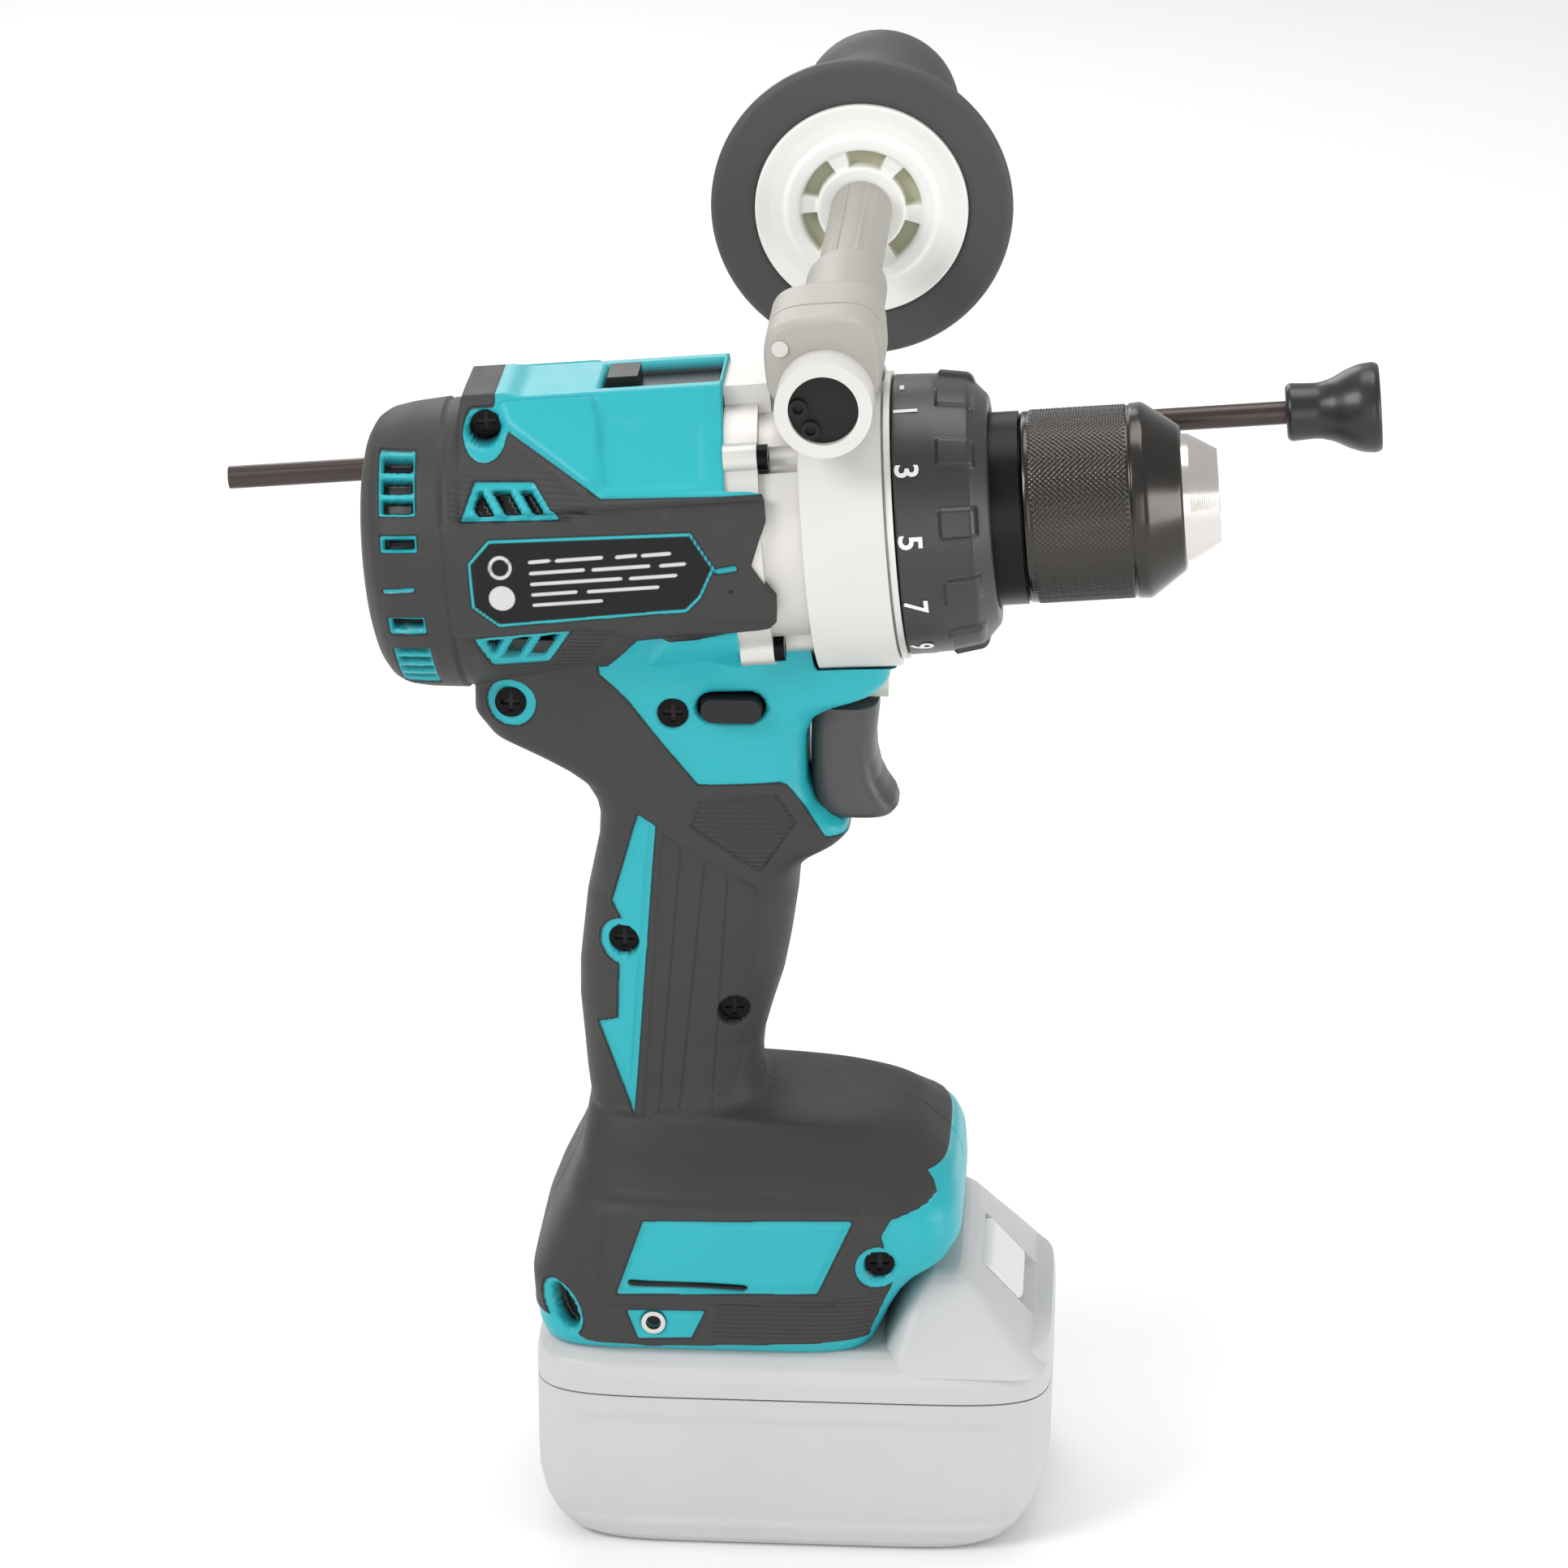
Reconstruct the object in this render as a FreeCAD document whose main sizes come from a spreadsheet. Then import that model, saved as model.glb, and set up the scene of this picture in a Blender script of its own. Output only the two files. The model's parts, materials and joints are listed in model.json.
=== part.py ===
"""Cordless drill with a side handle, a depth rod and a slide-on battery pack.

The drill stands upright on its battery.  The origin is the centre of the pack's flat base, +X points to
the nose, +Y to the drill's left side and +Z up.  Lengths are in millimetres.  The motor, gears, chuck and
clamp are drawn about their own axis (local X) and share one placement, which lifts them to the head's
height and tips the nose up.
"""
import FreeCAD, Part
import math
import os
import re

import Sketcher

V = FreeCAD.Vector
os.makedirs("parts", exist_ok=True)
doc = FreeCAD.newDocument("cordless_drill")

# ---------------------------------------------------------------- driving sizes
SIZES = [
    # the head and its tilt
    ("head_height", 225.0, "height of the chuck axis above the base, at the origin"),
    ("head_tilt", 4.8, "nose-up tilt of the chuck axis, degrees"),
    ("barrel_radius", 30.5, "outer radius of the motor barrel"),
    ("barrel_wall", 2.6, "wall of the barrel and rear cover"),
    ("seam_back", 72.0, "from the head's origin back to the rear cover's seam"),
    ("cover_depth", 20.5, "depth of the rear cover"),
    ("cover_corner", 6.0, "rounding of the rear cover's edge"),
    ("flange_back", 13.0, "from the head's origin back to the barrel's front edge"),
    ("flange_thick", 7.0, "thickness of the gear case flange"),
    ("deck_half", 10.0, "half width of the flat deck on top of the barrel"),
    ("deck_rise", 3.2, "rise of the deck above the barrel"),
    # fits
    ("running_gap", 0.05, "radial gap of a running fit"),
    ("seat_gap", 0.1, "radial gap of a seat that does not move"),
    ("free_gap", 0.4, "gap between pieces that pass each other"),
    # motor
    ("shaft_radius", 2.5, "motor shaft"),
    ("bearing_radius", 8.0, "outer radius of a motor bearing"),
    ("bearing_width", 5.0, "width of a motor bearing"),
    ("stator_bore", 13.5, "bore of the stator core"),
    ("stator_length", 22.0, "length of the stator core"),
    ("stator_rear", 63.0, "from the head's origin back to the stator's rear end"),
    ("coil_reach", 5.0, "how far the windings stand out of the core"),
    ("air_gap", 0.5, "gap between stator and rotor"),
    ("fan_rear", 83.0, "from the head's origin back to the fan's rear face"),
    ("fan_width", 8.0, "width of the fan"),
    # gears
    ("gear_module", 0.9, "module of every gear"),
    ("gear_backlash", 0.16, "play between tooth flanks"),
    ("gear_width", 8.0, "width of the planet gears"),
    ("gear_rear", 22.0, "from the head's origin back to the first planets"),
    ("carrier_thick", 3.0, "thickness of the first carrier"),
    ("planet_pin", 2.2, "radius of a planet's pin"),
    ("ring_wall", 2.0, "material outside the ring gear's teeth"),
    # gear case and clamp collar
    ("collar_front", 20.0, "from the head's origin to the front of the clamp collar"),
    ("nose_radius", 17.5, "outer radius of the gear case nose"),
    ("nose_front", 36.0, "from the head's origin to the front of the nose"),
    ("spindle_radius", 7.4, "spindle"),
    ("spindle_bearing", 13.0, "outer radius of a spindle bearing"),
    ("spindle_bearing_width", 7.0, "width of a spindle bearing"),
    # torque ring and chuck
    ("index_width", 1.3, "width of the index ring"),
    ("torque_radius", 29.5, "torque ring at its rear edge"),
    ("torque_front", 41.0, "from the head's origin to the torque ring's front face"),
    ("chuck_radius", 20.3, "chuck collar and sleeve"),
    ("collar_end", 47.0, "from the head's origin to the front of the chuck collar"),
    ("core_radius", 17.4, "chuck body inside the sleeve"),
    ("sleeve_end", 73.0, "from the head's origin to the end of the sleeve's straight part"),
    ("cone_end", 80.6, "from the head's origin to the front of the sleeve's cone"),
    ("nose_end", 88.0, "from the head's origin to the chuck's front face"),
    ("nose_root", 13.5, "radius of the chuck's nose at the sleeve"),
    ("nose_tip", 9.8, "radius of the chuck's nose at its front face"),
    ("thread_radius", 6.1, "spindle thread in the chuck"),
    ("jaw_radius", 3.0, "round body of a jaw"),
    ("jaw_length", 22.0, "length of a jaw"),
    ("jaw_angle", 14.0, "slope of a jaw to the chuck axis, degrees"),
    ("grip_radius", 3.0, "radius of the shank that the jaws stand open to"),
    ("grip_closed", 0.75, "radius of the smallest shank"),
    # side handle
    ("band_wall", 3.2, "thickness of the clamp band"),
    ("band_rear", 2.5, "from the head's origin to the rear edge of the band"),
    ("band_width", 17.0, "width of the band"),
    ("bolt_height", 34.6, "from the chuck axis up to the tie bolt"),
    ("bolt_ahead", 9.5, "from the head's origin forward to the tie bolt"),
    ("bolt_radius", 4.0, "tie bolt"),
    ("boss_radius", 10.0, "round boss of the band"),
    ("boss_end", 36.0, "from the mid-plane out to the boss's face"),
    ("plug_radius", 7.2, "plug in the boss"),
    ("block_near", 26.0, "from the mid-plane out to the clamp block's near face"),
    ("block_far", 34.0, "from the mid-plane to the clamp block's far face"),
    ("arm_radius", 8.9, "arm of the clamp block"),
    ("arm_end", 57.0, "from the mid-plane to the end of the arm"),
    ("neck_radius", 7.0, "neck between the arm and the hub"),
    ("hub_start", 119.0, "from the mid-plane to the hub disc"),
    ("hub_radius", 24.5, "hub disc"),
    ("flange_radius", 34.7, "rubber flange of the grip"),
    ("grip_end", 222.0, "from the mid-plane to the end of the grip"),
    ("grip_body", 16.5, "radius of the grip"),
    ("grip_knob", 19.3, "radius of the grip's end knob"),
    ("rod_radius", 2.5, "depth rod"),
    ("rod_out", 41.0, "from the chuck axis sideways to the depth rod"),
    ("rod_up", 4.5, "from the chuck axis up to the depth rod"),
    ("rod_rear", 128.0, "from the head's origin back to the rod's end"),
    ("rod_front", 112.0, "from the head's origin to the rod's front end"),
    ("tip_length", 20.4, "rubber tip of the rod"),
    ("tip_root", 6.1, "radius of the tip's small end"),
    ("tip_face", 9.7, "radius of the tip's face"),
    # handle, foot and pack
    ("grip_half", 17.6, "half width of the handle"),
    ("zone_half", 16.5, "half width of the housing round the trigger"),
    ("skin", 1.6, "thickness of the soft grip cover"),
    ("wall", 2.6, "wall of the handle and foot"),
    ("foot_half", 36.0, "half width of the foot"),
    ("foot_back", 57.0, "from the origin back to the foot's rear"),
    ("foot_front", 37.0, "from the origin to the foot's front"),
    ("foot_top", 95.0, "height of the foot's top"),
    ("pack_top", 47.0, "height of the pack's flat top, where the foot sits"),
    ("pack_length", 113.0, "length of the pack"),
    ("pack_width", 75.0, "width of the pack"),
    ("pack_seam", 37.0, "height of the seam between the pack's case and lid"),
    ("pack_wall", 2.0, "wall of the pack"),
    ("pack_corner", 9.0, "upright corner rounding of the pack"),
    ("hump_front", 20.0, "where the pack's raised front starts"),
    ("hump_top", 71.0, "height of the pack's raised front"),
    ("rail_half", 26.0, "half width of the pack's rail"),
    ("rail_neck", 21.0, "half width of the rail's neck"),
    ("rail_top", 60.0, "height of the rail's top"),
    ("rail_lip", 3.5, "thickness of the foot's lip under the rail"),
    ("rail_back", 43.0, "from the origin back to the rail's rear end"),
    ("cell_radius", 9.2, "battery cell"),
    ("cell_length", 65.0, "length of a cell"),
    ("cell_pitch", 19.0, "spacing of the cells"),
    # screws, buttons and levers
    ("screw_radius", 1.6, "shank of a housing screw"),
    ("screw_head", 3.3, "head of a housing screw"),
    ("screw_cap", 2.2, "height of a screw's head"),
    ("boss_wall", 2.2, "wall of a screw boss"),
    ("trigger_half", 10.5, "half width of the trigger"),
    ("trigger_travel", 7.0, "travel of the trigger"),
    ("button_travel", 3.0, "travel of the direction button to each side"),
    ("lever_travel", 9.0, "travel of the speed lever"),
]

sheet = doc.addObject("Spreadsheet::Sheet", "Sizes")
for row, (alias, number, note) in enumerate(SIZES, start=1):
    sheet.set(f"A{row}", alias)
    sheet.set(f"B{row}", str(number))
    sheet.set(f"C{row}", note)
    sheet.setAlias(f"B{row}", alias)
doc.recompute()
ALIASES = re.compile(r"\b(" + "|".join(alias for alias, _, _ in SIZES) + r")\b")


def bound(text):
    """Return an expression with every size name pointed at the sheet."""
    return ALIASES.sub(r"Sizes.\1", str(text))


def value(text):
    """Return the number that an expression of size names gives now."""
    return float(sheet.evalExpression(bound(text)))


# ---------------------------------------------------------------- building helpers
nodes = []
ROLES = {"XY": "XY_Plane", "XZ": "XZ_Plane", "YZ": "YZ_Plane"}
TURNS = {
    "X": FreeCAD.Rotation(V(0, 1, 0), 90),
    "Y": FreeCAD.Rotation(V(1, 0, 0), -90),
    "Z": FreeCAD.Rotation(),
}


def place(obj, x="0", y="0", z="0", axis="Z"):
    """Stand an object at a point given by expressions, with its own Z along the named axis."""
    obj.Placement = FreeCAD.Placement(V(value(x), value(y), value(z)), TURNS[axis])
    for name, text in (("x", x), ("y", y), ("z", z)):
        obj.setExpression(f"Placement.Base.{name}", bound(text))
    return obj


def on_head(obj):
    """Give an object the head's height and tilt."""
    obj.Placement = FreeCAD.Placement(V(0, 0, value("head_height")), FreeCAD.Rotation(V(0, -1, 0), 5))
    obj.setExpression("Placement.Base.z", bound("head_height"))
    obj.setExpression("Placement.Rotation.Angle", bound("head_tilt * 1 deg"))
    return obj


def group(*shapes):
    """Separate solids kept in one node."""
    obj = doc.addObject("Part::Compound", "Group")
    obj.Links = list(shapes)
    return obj


def node(label, obj, head=False):
    """Register a finished sub-part under the name of its file; a plain block or bar keeps its own place."""
    if head and obj.TypeId in ("Part::Box", "Part::Cylinder"):
        obj = group(obj)
    obj.Label = label
    if head:
        on_head(obj)
    nodes.append(obj)
    return obj


def box(x, y, z, length, width, height):
    """A block with its lowest corner at x, y, z."""
    obj = doc.addObject("Part::Box", "Block")
    for name, text in (("Length", length), ("Width", width), ("Height", height)):
        setattr(obj, name, value(text))
        obj.setExpression(name, bound(text))
    return place(obj, x, y, z)


def rod(radius, length, x="0", y="0", z="0", axis="Z"):
    """A round bar that starts at a point and runs along the named axis."""
    obj = doc.addObject("Part::Cylinder", "Bar")
    for name, text in (("Radius", radius), ("Height", length)):
        setattr(obj, name, value(text))
        obj.setExpression(name, bound(text))
    return place(obj, x, y, z, axis)


def fuse(*shapes):
    """One solid out of several that overlap."""
    obj = doc.addObject("Part::MultiFuse", "Fuse")
    obj.Shapes = list(shapes)
    obj.Refine = True
    return obj


def cut(base, *tools):
    """A solid with others taken out of it."""
    obj = doc.addObject("Part::Cut", "Cut")
    obj.Base = base
    obj.Tool = tools[0] if len(tools) == 1 else fuse(*tools)
    obj.Refine = True
    return obj


def fuse_loose(*shapes):
    """A compound of tools for a cut."""
    obj = doc.addObject("Part::Compound", "Tools")
    obj.Links = list(shapes)
    return obj


def common(first, second):
    """What two solids share."""
    obj = doc.addObject("Part::Common", "Common")
    obj.Base = first
    obj.Tool = second
    obj.Refine = True
    return obj


def tilted(obj):
    """A copy of the head's placement for a tool that is drawn about the chuck axis."""
    carrier = doc.addObject("Part::Compound", "OnHead")
    carrier.Links = [obj]
    return on_head(carrier)


def sketch_on(body, plane, offset=None):
    """An empty sketch on one of the body's own planes, moved out of it by an expression."""
    sketch = body.newObject("Sketcher::SketchObject", "Outline")
    origin = [f for f in body.Origin.OriginFeatures if f.Role == ROLES[plane]][0]
    sketch.AttachmentSupport = [(origin, "")]
    sketch.MapMode = "FlatFace"
    if offset is not None:
        sketch.AttachmentOffset = FreeCAD.Placement(V(0, 0, value(offset)), FreeCAD.Rotation())
        sketch.setExpression("AttachmentOffset.Base.z", bound(offset))
    return sketch


def pin_point(sketch, index, spot):
    """Hold the start of a line at a point whose two coordinates are expressions."""
    for text, kind, axis in ((spot[0], "DistanceX", -2), (spot[1], "DistanceY", -1)):
        number = value(text)
        if abs(number) < 1e-9:
            sketch.addConstraint(Sketcher.Constraint("PointOnObject", index, 1, axis))
        else:
            held = sketch.addConstraint(Sketcher.Constraint(kind, -1, 1, index, 1, number))
            sketch.setExpression(f"Constraints[{held}]", bound(text))


def draw(sketch, corners):
    """Draw a closed outline of straight lines through corners given as pairs of expressions."""
    spots = [V(value(a), value(b), 0) for a, b in corners]
    count = len(spots)
    for i in range(count):
        sketch.addGeometry(Part.LineSegment(spots[i], spots[(i + 1) % count]))
    for i in range(count):
        sketch.addConstraint(Sketcher.Constraint("Coincident", i, 2, (i + 1) % count, 1))
    for i, corner in enumerate(corners):
        pin_point(sketch, i, corner)


def turned(corners):
    """A body turned about local X from an outline of (along, radius) pairs."""
    body = doc.addObject("PartDesign::Body", "Turned")
    sketch = sketch_on(body, "XZ")
    draw(sketch, corners)
    spin = body.newObject("PartDesign::Revolution", "Spin")
    spin.Profile = sketch
    spin.ReferenceAxis = (sketch, ["H_Axis"])
    spin.Angle = 360
    return body


def padded(corners, thick, plane="XZ", start=None, middle=False):
    """A body pushed out of an outline; from the XZ plane it grows towards -Y unless it is centred."""
    body = doc.addObject("PartDesign::Body", "Padded")
    sketch = sketch_on(body, plane, start)
    draw(sketch, corners)
    pad = body.newObject("PartDesign::Pad", "Push")
    pad.Profile = sketch
    pad.Length = value(thick)
    pad.setExpression("Length", bound(thick))
    if middle:
        pad.SideType = "Symmetric" if "SideType" in pad.PropertiesList else 0
    return body


def rounded_section(body, back, front, half, corner, height):
    """A level rectangle with round corners, for a loft."""
    sketch = sketch_on(body, "XY", height)
    x0, x1, y1, r = value(back), value(front), value(half), value(corner)
    y0 = -y1
    lines = [((x0 + r, y0), (x1 - r, y0)), ((x1, y0 + r), (x1, y1 - r)),
             ((x1 - r, y1), (x0 + r, y1)), ((x0, y1 - r), (x0, y0 + r))]
    centres = [(x1 - r, y0 + r), (x1 - r, y1 - r), (x0 + r, y1 - r), (x0 + r, y0 + r)]
    normal = V(0, 0, 1)
    for i in range(4):
        sketch.addGeometry(Part.LineSegment(V(*lines[i][0], 0), V(*lines[i][1], 0)))
        circle = Part.Circle(V(*centres[i], 0), normal, r)
        start = math.radians(90 * (i - 1))
        sketch.addGeometry(Part.ArcOfCircle(circle, start, start + math.pi / 2))
    for i in range(4):
        line, arc, following = 2 * i, 2 * i + 1, (2 * i + 2) % 8
        sketch.addConstraint(Sketcher.Constraint("Tangent", line, 2, arc, 1))
        sketch.addConstraint(Sketcher.Constraint("Tangent", arc, 2, following, 1))
        sketch.addConstraint(Sketcher.Constraint("Horizontal" if i % 2 == 0 else "Vertical", line))
        if i:
            sketch.addConstraint(Sketcher.Constraint("Equal", 1, arc))
    rules = [("Radius", (1,), r, corner), ("DistanceX", (-1, 1, 6, 1), x0, back),
             ("DistanceX", (-1, 1, 2, 1), x1, front), ("DistanceY", (-1, 1, 4, 1), y1, half),
             ("DistanceY", (0, 1, -1, 1), y1, half)]
    for kind, where, number, text in rules:
        held = sketch.addConstraint(Sketcher.Constraint(kind, *where, number))
        sketch.setExpression(f"Constraints[{held}]", bound(text))
    return sketch


def lofted(sections):
    """A body lofted upwards through level rounded rectangles (back, front, half, corner, height)."""
    body = doc.addObject("PartDesign::Body", "Lofted")
    sketches = [rounded_section(body, *section) for section in sections]
    loft = body.newObject("PartDesign::AdditiveLoft", "Loft")
    loft.Profile = sketches[0]
    loft.Sections = sketches[1:]
    loft.Ruled = False
    return body


def shrunk(sections, wall):
    """The same sections moved inwards by a wall."""
    return [(f"{b} + {wall}", f"{f} - {wall}", f"{w} - {wall}", f"{c} - {wall}", z)
            for b, f, w, c, z in sections]


def coil(mean, wire, pitch, turns):
    """A compression spring about local X that starts at the origin."""
    body = doc.addObject("PartDesign::Body", "Coil")
    sketch = sketch_on(body, "XZ")
    sketch.addGeometry(Part.Circle(V(0, value(mean), 0), V(0, 0, 1), value(wire)))
    held = sketch.addConstraint(Sketcher.Constraint("Radius", 0, value(wire)))
    sketch.setExpression(f"Constraints[{held}]", bound(wire))
    sketch.addConstraint(Sketcher.Constraint("PointOnObject", 0, 3, -2))
    held = sketch.addConstraint(Sketcher.Constraint("DistanceY", -1, 1, 0, 3, value(mean)))
    sketch.setExpression(f"Constraints[{held}]", bound(mean))
    helix = body.newObject("PartDesign::AdditiveHelix", "Helix")
    helix.Profile = sketch
    helix.ReferenceAxis = (sketch, ["H_Axis"])
    helix.Mode = 0
    helix.Pitch = value(pitch)
    helix.Height = value(f"({pitch}) * {turns}")
    helix.setExpression("Pitch", bound(pitch))
    helix.setExpression("Height", bound(f"({pitch}) * {turns}"))
    return body


# ---------------------------------------------------------------- sizes worked out from the driving ones
COLLAR = "(barrel_radius - 2.1)"
BAND_IN = f"({COLLAR} + running_gap)"
BAND_OUT = f"({BAND_IN} + band_wall)"
BARREL_IN = "(barrel_radius - barrel_wall)"
STATOR = f"({BARREL_IN} - 1)"
FLANGE_FRONT = "(flange_thick - flange_back)"
DECK_TOP = "(barrel_radius + deck_rise)"
LUG_CIRCLE = "((barrel_radius - 1.2) * 0.7071)"
RING_PITCH = "(gear_module * 24)"
RING_OUT = f"({RING_PITCH} + gear_module * 1.25 + ring_wall)"
CASE_BORE = f"({RING_OUT} + seat_gap)"
FIRST_START = "(-gear_rear)"
FIRST_PLATE = f"({FIRST_START} + gear_width + 0.5)"
SECOND_START = f"({FIRST_PLATE} + carrier_thick + 1)"
SECOND_PLATE = f"({SECOND_START} + gear_width + 0.5)"
CASE_WALL = f"({SECOND_PLATE} + 5)"
REAR_BEARING = f"({CASE_WALL} + 1)"
HEAD = "head_height"
ROD_HOLE = "(rod_radius + running_gap)"
GEAR_TURN = 90


def tooth_outline(teeth, phase, inward=False):
    """Corner points of a gear about local X; phase is the angle of one tooth's middle in degrees."""
    module = value("gear_module")
    pitch = module * teeth / 2
    base = pitch * math.cos(math.radians(20))
    tip, root = (-0.85 * module, 1.15 * module) if inward else (0.85 * module, -1.15 * module)
    play = value("gear_backlash") / (4 * pitch)
    half = math.pi / (2 * teeth)

    def involute(radius):
        """Polar angle of the involute at a radius, zero on the base circle."""
        angle = math.acos(min(1.0, base / max(radius, base)))
        return math.tan(angle) - angle

    radii = [pitch + root + (tip - root) * k / 5 for k in range(6)]
    points = []
    for i in range(teeth):
        middle = math.radians(phase) + 2 * math.pi * i / teeth
        spread = []
        for radius in radii:
            swing = involute(radius) - involute(pitch)
            width = half - play + (swing if inward else -swing)
            spread.append((radius, width))
        points += [(r, middle - w) for r, w in spread]
        points += [(r, middle + w) for r, w in reversed(spread)]
    return [V(0, r * math.cos(a), r * math.sin(a)) for r, a in points]


def gear_blank(teeth, start, width, phase, outer=None):
    """A spur gear about local X, or a ring gear when an outer radius is given."""
    points = tooth_outline(teeth, phase, inward=outer is not None)
    face = Part.Face(Part.makePolygon(points + points[:1]))
    solid = face.extrude(V(value(width), 0, 0))
    if outer is not None:
        solid = Part.makeCylinder(value(outer), value(width), V(), V(1, 0, 0)).cut(solid)
    obj = doc.addObject("Part::Feature", "Gear")
    obj.Shape = solid
    obj.Placement = FreeCAD.Placement(V(value(start), 0, 0), FreeCAD.Rotation())
    obj.setExpression("Placement.Base.x", bound(start))
    return obj


def spun(obj, degrees):
    """An object turned about local X by a fixed angle."""
    carrier = group(obj)
    carrier.Placement = FreeCAD.Placement(V(), FreeCAD.Rotation(V(1, 0, 0), degrees))
    return carrier


def along_bolt(obj):
    """An object drawn about local X, moved onto the side handle's tie bolt and pointed to +Y."""
    carrier = group(obj)
    carrier.Placement = FreeCAD.Placement(V(value("bolt_ahead"), 0, value("bolt_height")),
                                          FreeCAD.Rotation(V(0, 0, 1), 90))
    carrier.setExpression("Placement.Base.x", bound("bolt_ahead"))
    carrier.setExpression("Placement.Base.z", bound("bolt_height"))
    return carrier


def screw(x, z, reach, length):
    """A cross-recess screw along Y with its head's face at y = -reach and its shank towards +Y."""
    head = rod("screw_head", "screw_cap", x, f"-({reach})", z, "Y")
    shank = rod("screw_radius", f"{length} - screw_cap", x, f"screw_cap - ({reach})", z, "Y")
    slot = "screw_head * 1.25"
    wide = "screw_head * 0.3"
    level = box(f"{x} - ({slot}) / 2", f"-({reach}) - 0.1", f"{z} - ({wide}) / 2", slot, "1.4", wide)
    upright = box(f"{x} - ({wide}) / 2", f"-({reach}) - 0.1", f"{z} - ({slot}) / 2", wide, "1.4", slot)
    return cut(fuse(head, shank), level, upright)


# ---------------------------------------------------------------- housing halves
GRIP_SPAN = f"({HEAD} - 68 - foot_top)"
GRIP = [
    ("-46", "-6.5", "grip_half + 0.4", "13", "foot_top - 4"),
    ("-46.4", "-8.1", "grip_half - 0.6", "13", f"foot_top + {GRIP_SPAN} * 0.145"),
    ("-47.7", "-4.8", "grip_half", "13", f"foot_top + {GRIP_SPAN} * 0.403"),
    ("-46.2", "-0.6", "grip_half", "13", f"foot_top + {GRIP_SPAN} * 0.71"),
    ("-42.9", "2.4", "grip_half - 0.4", "12", f"{HEAD} - 68"),
]
FOOT = [
    ("-foot_back", "foot_front", "foot_half", "14", "pack_top"),
    ("0.6 - foot_back", "foot_front", "foot_half", "14", "pack_top + 19"),
    ("6.5 - foot_back", "foot_front - 1", "foot_half - 7", "13", "pack_top + 35"),
    ("11 - foot_back", "foot_front - 13", "foot_half - 16", "12", "foot_top"),
]
FOOT_ROOM = [
    ("wall + 1 - foot_back", "foot_front - wall - 6", "foot_half - wall - 1", "11", "rail_top + wall"),
    ("wall + 7.5 - foot_back", "foot_front - wall - 6", "foot_half - wall - 8", "10", "pack_top + 34"),
]
ZONE = [
    ("-69", f"{HEAD} - 20"), ("-69", f"{HEAD} - 40.6"), ("-66.3", f"{HEAD} - 45.6"),
    ("-55.9", f"{HEAD} - 49.8"), ("-50", f"{HEAD} - 52.8"), ("-45.7", f"{HEAD} - 55.8"),
    ("-43.4", f"{HEAD} - 59.7"), ("-42.7", f"{HEAD} - 66"), ("-43.1", f"{HEAD} - 72"),
    ("2.5", f"{HEAD} - 72"), ("7.2", f"{HEAD} - 70"), ("10.6", f"{HEAD} - 67.6"),
    ("9.5", f"{HEAD} - 66.4"), ("2.2", f"{HEAD} - 64.2"), ("2.2", f"{HEAD} - 40"),
    ("17.2", f"{HEAD} - 38.8"), ("20.4", f"{HEAD} - 30"), ("20.4", f"{HEAD} - 15"),
]
GRIP_SCREWS = [("-60.5", f"{HEAD} - 36.5", "zone_half"), ("-26.1", f"{HEAD} - 38.1", "zone_half"),
               ("-37", "foot_top + 39.8", "grip_half - 2.5"), ("-13.5", "foot_top + 23.8", "grip_half - 4"),
               ("19.1", "pack_top + 21.5", "foot_half - 2")]
TOP_SCREW = ("-62.7", "barrel_radius - 0.9", "13")


def oval(x, z, half_long, half_high, depth):
    """A bar across the drill with a long rounded section."""
    flat = f"({half_long} - {half_high})"
    ends = [rod(half_high, f"2 * ({depth})", f"{x} {sign} {flat}", f"-({depth})", z, "Y") for sign in "+-"]
    middle = box(f"{x} - {flat}", f"-({depth})", f"{z} - {half_high}", f"2 * {flat}", f"2 * ({depth})",
                 f"2 * {half_high}")
    return fuse(middle, *ends)


def vent_slots(first, count, pitch, width, low, high):
    """Upright slots through both sides of the barrel, in the head's frame."""
    return [box(f"{first} + {k} * {pitch}", "-barrel_radius - 3", low, width, "2 * barrel_radius + 6",
                f"{high} - ({low})") for k in range(count)]


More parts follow.
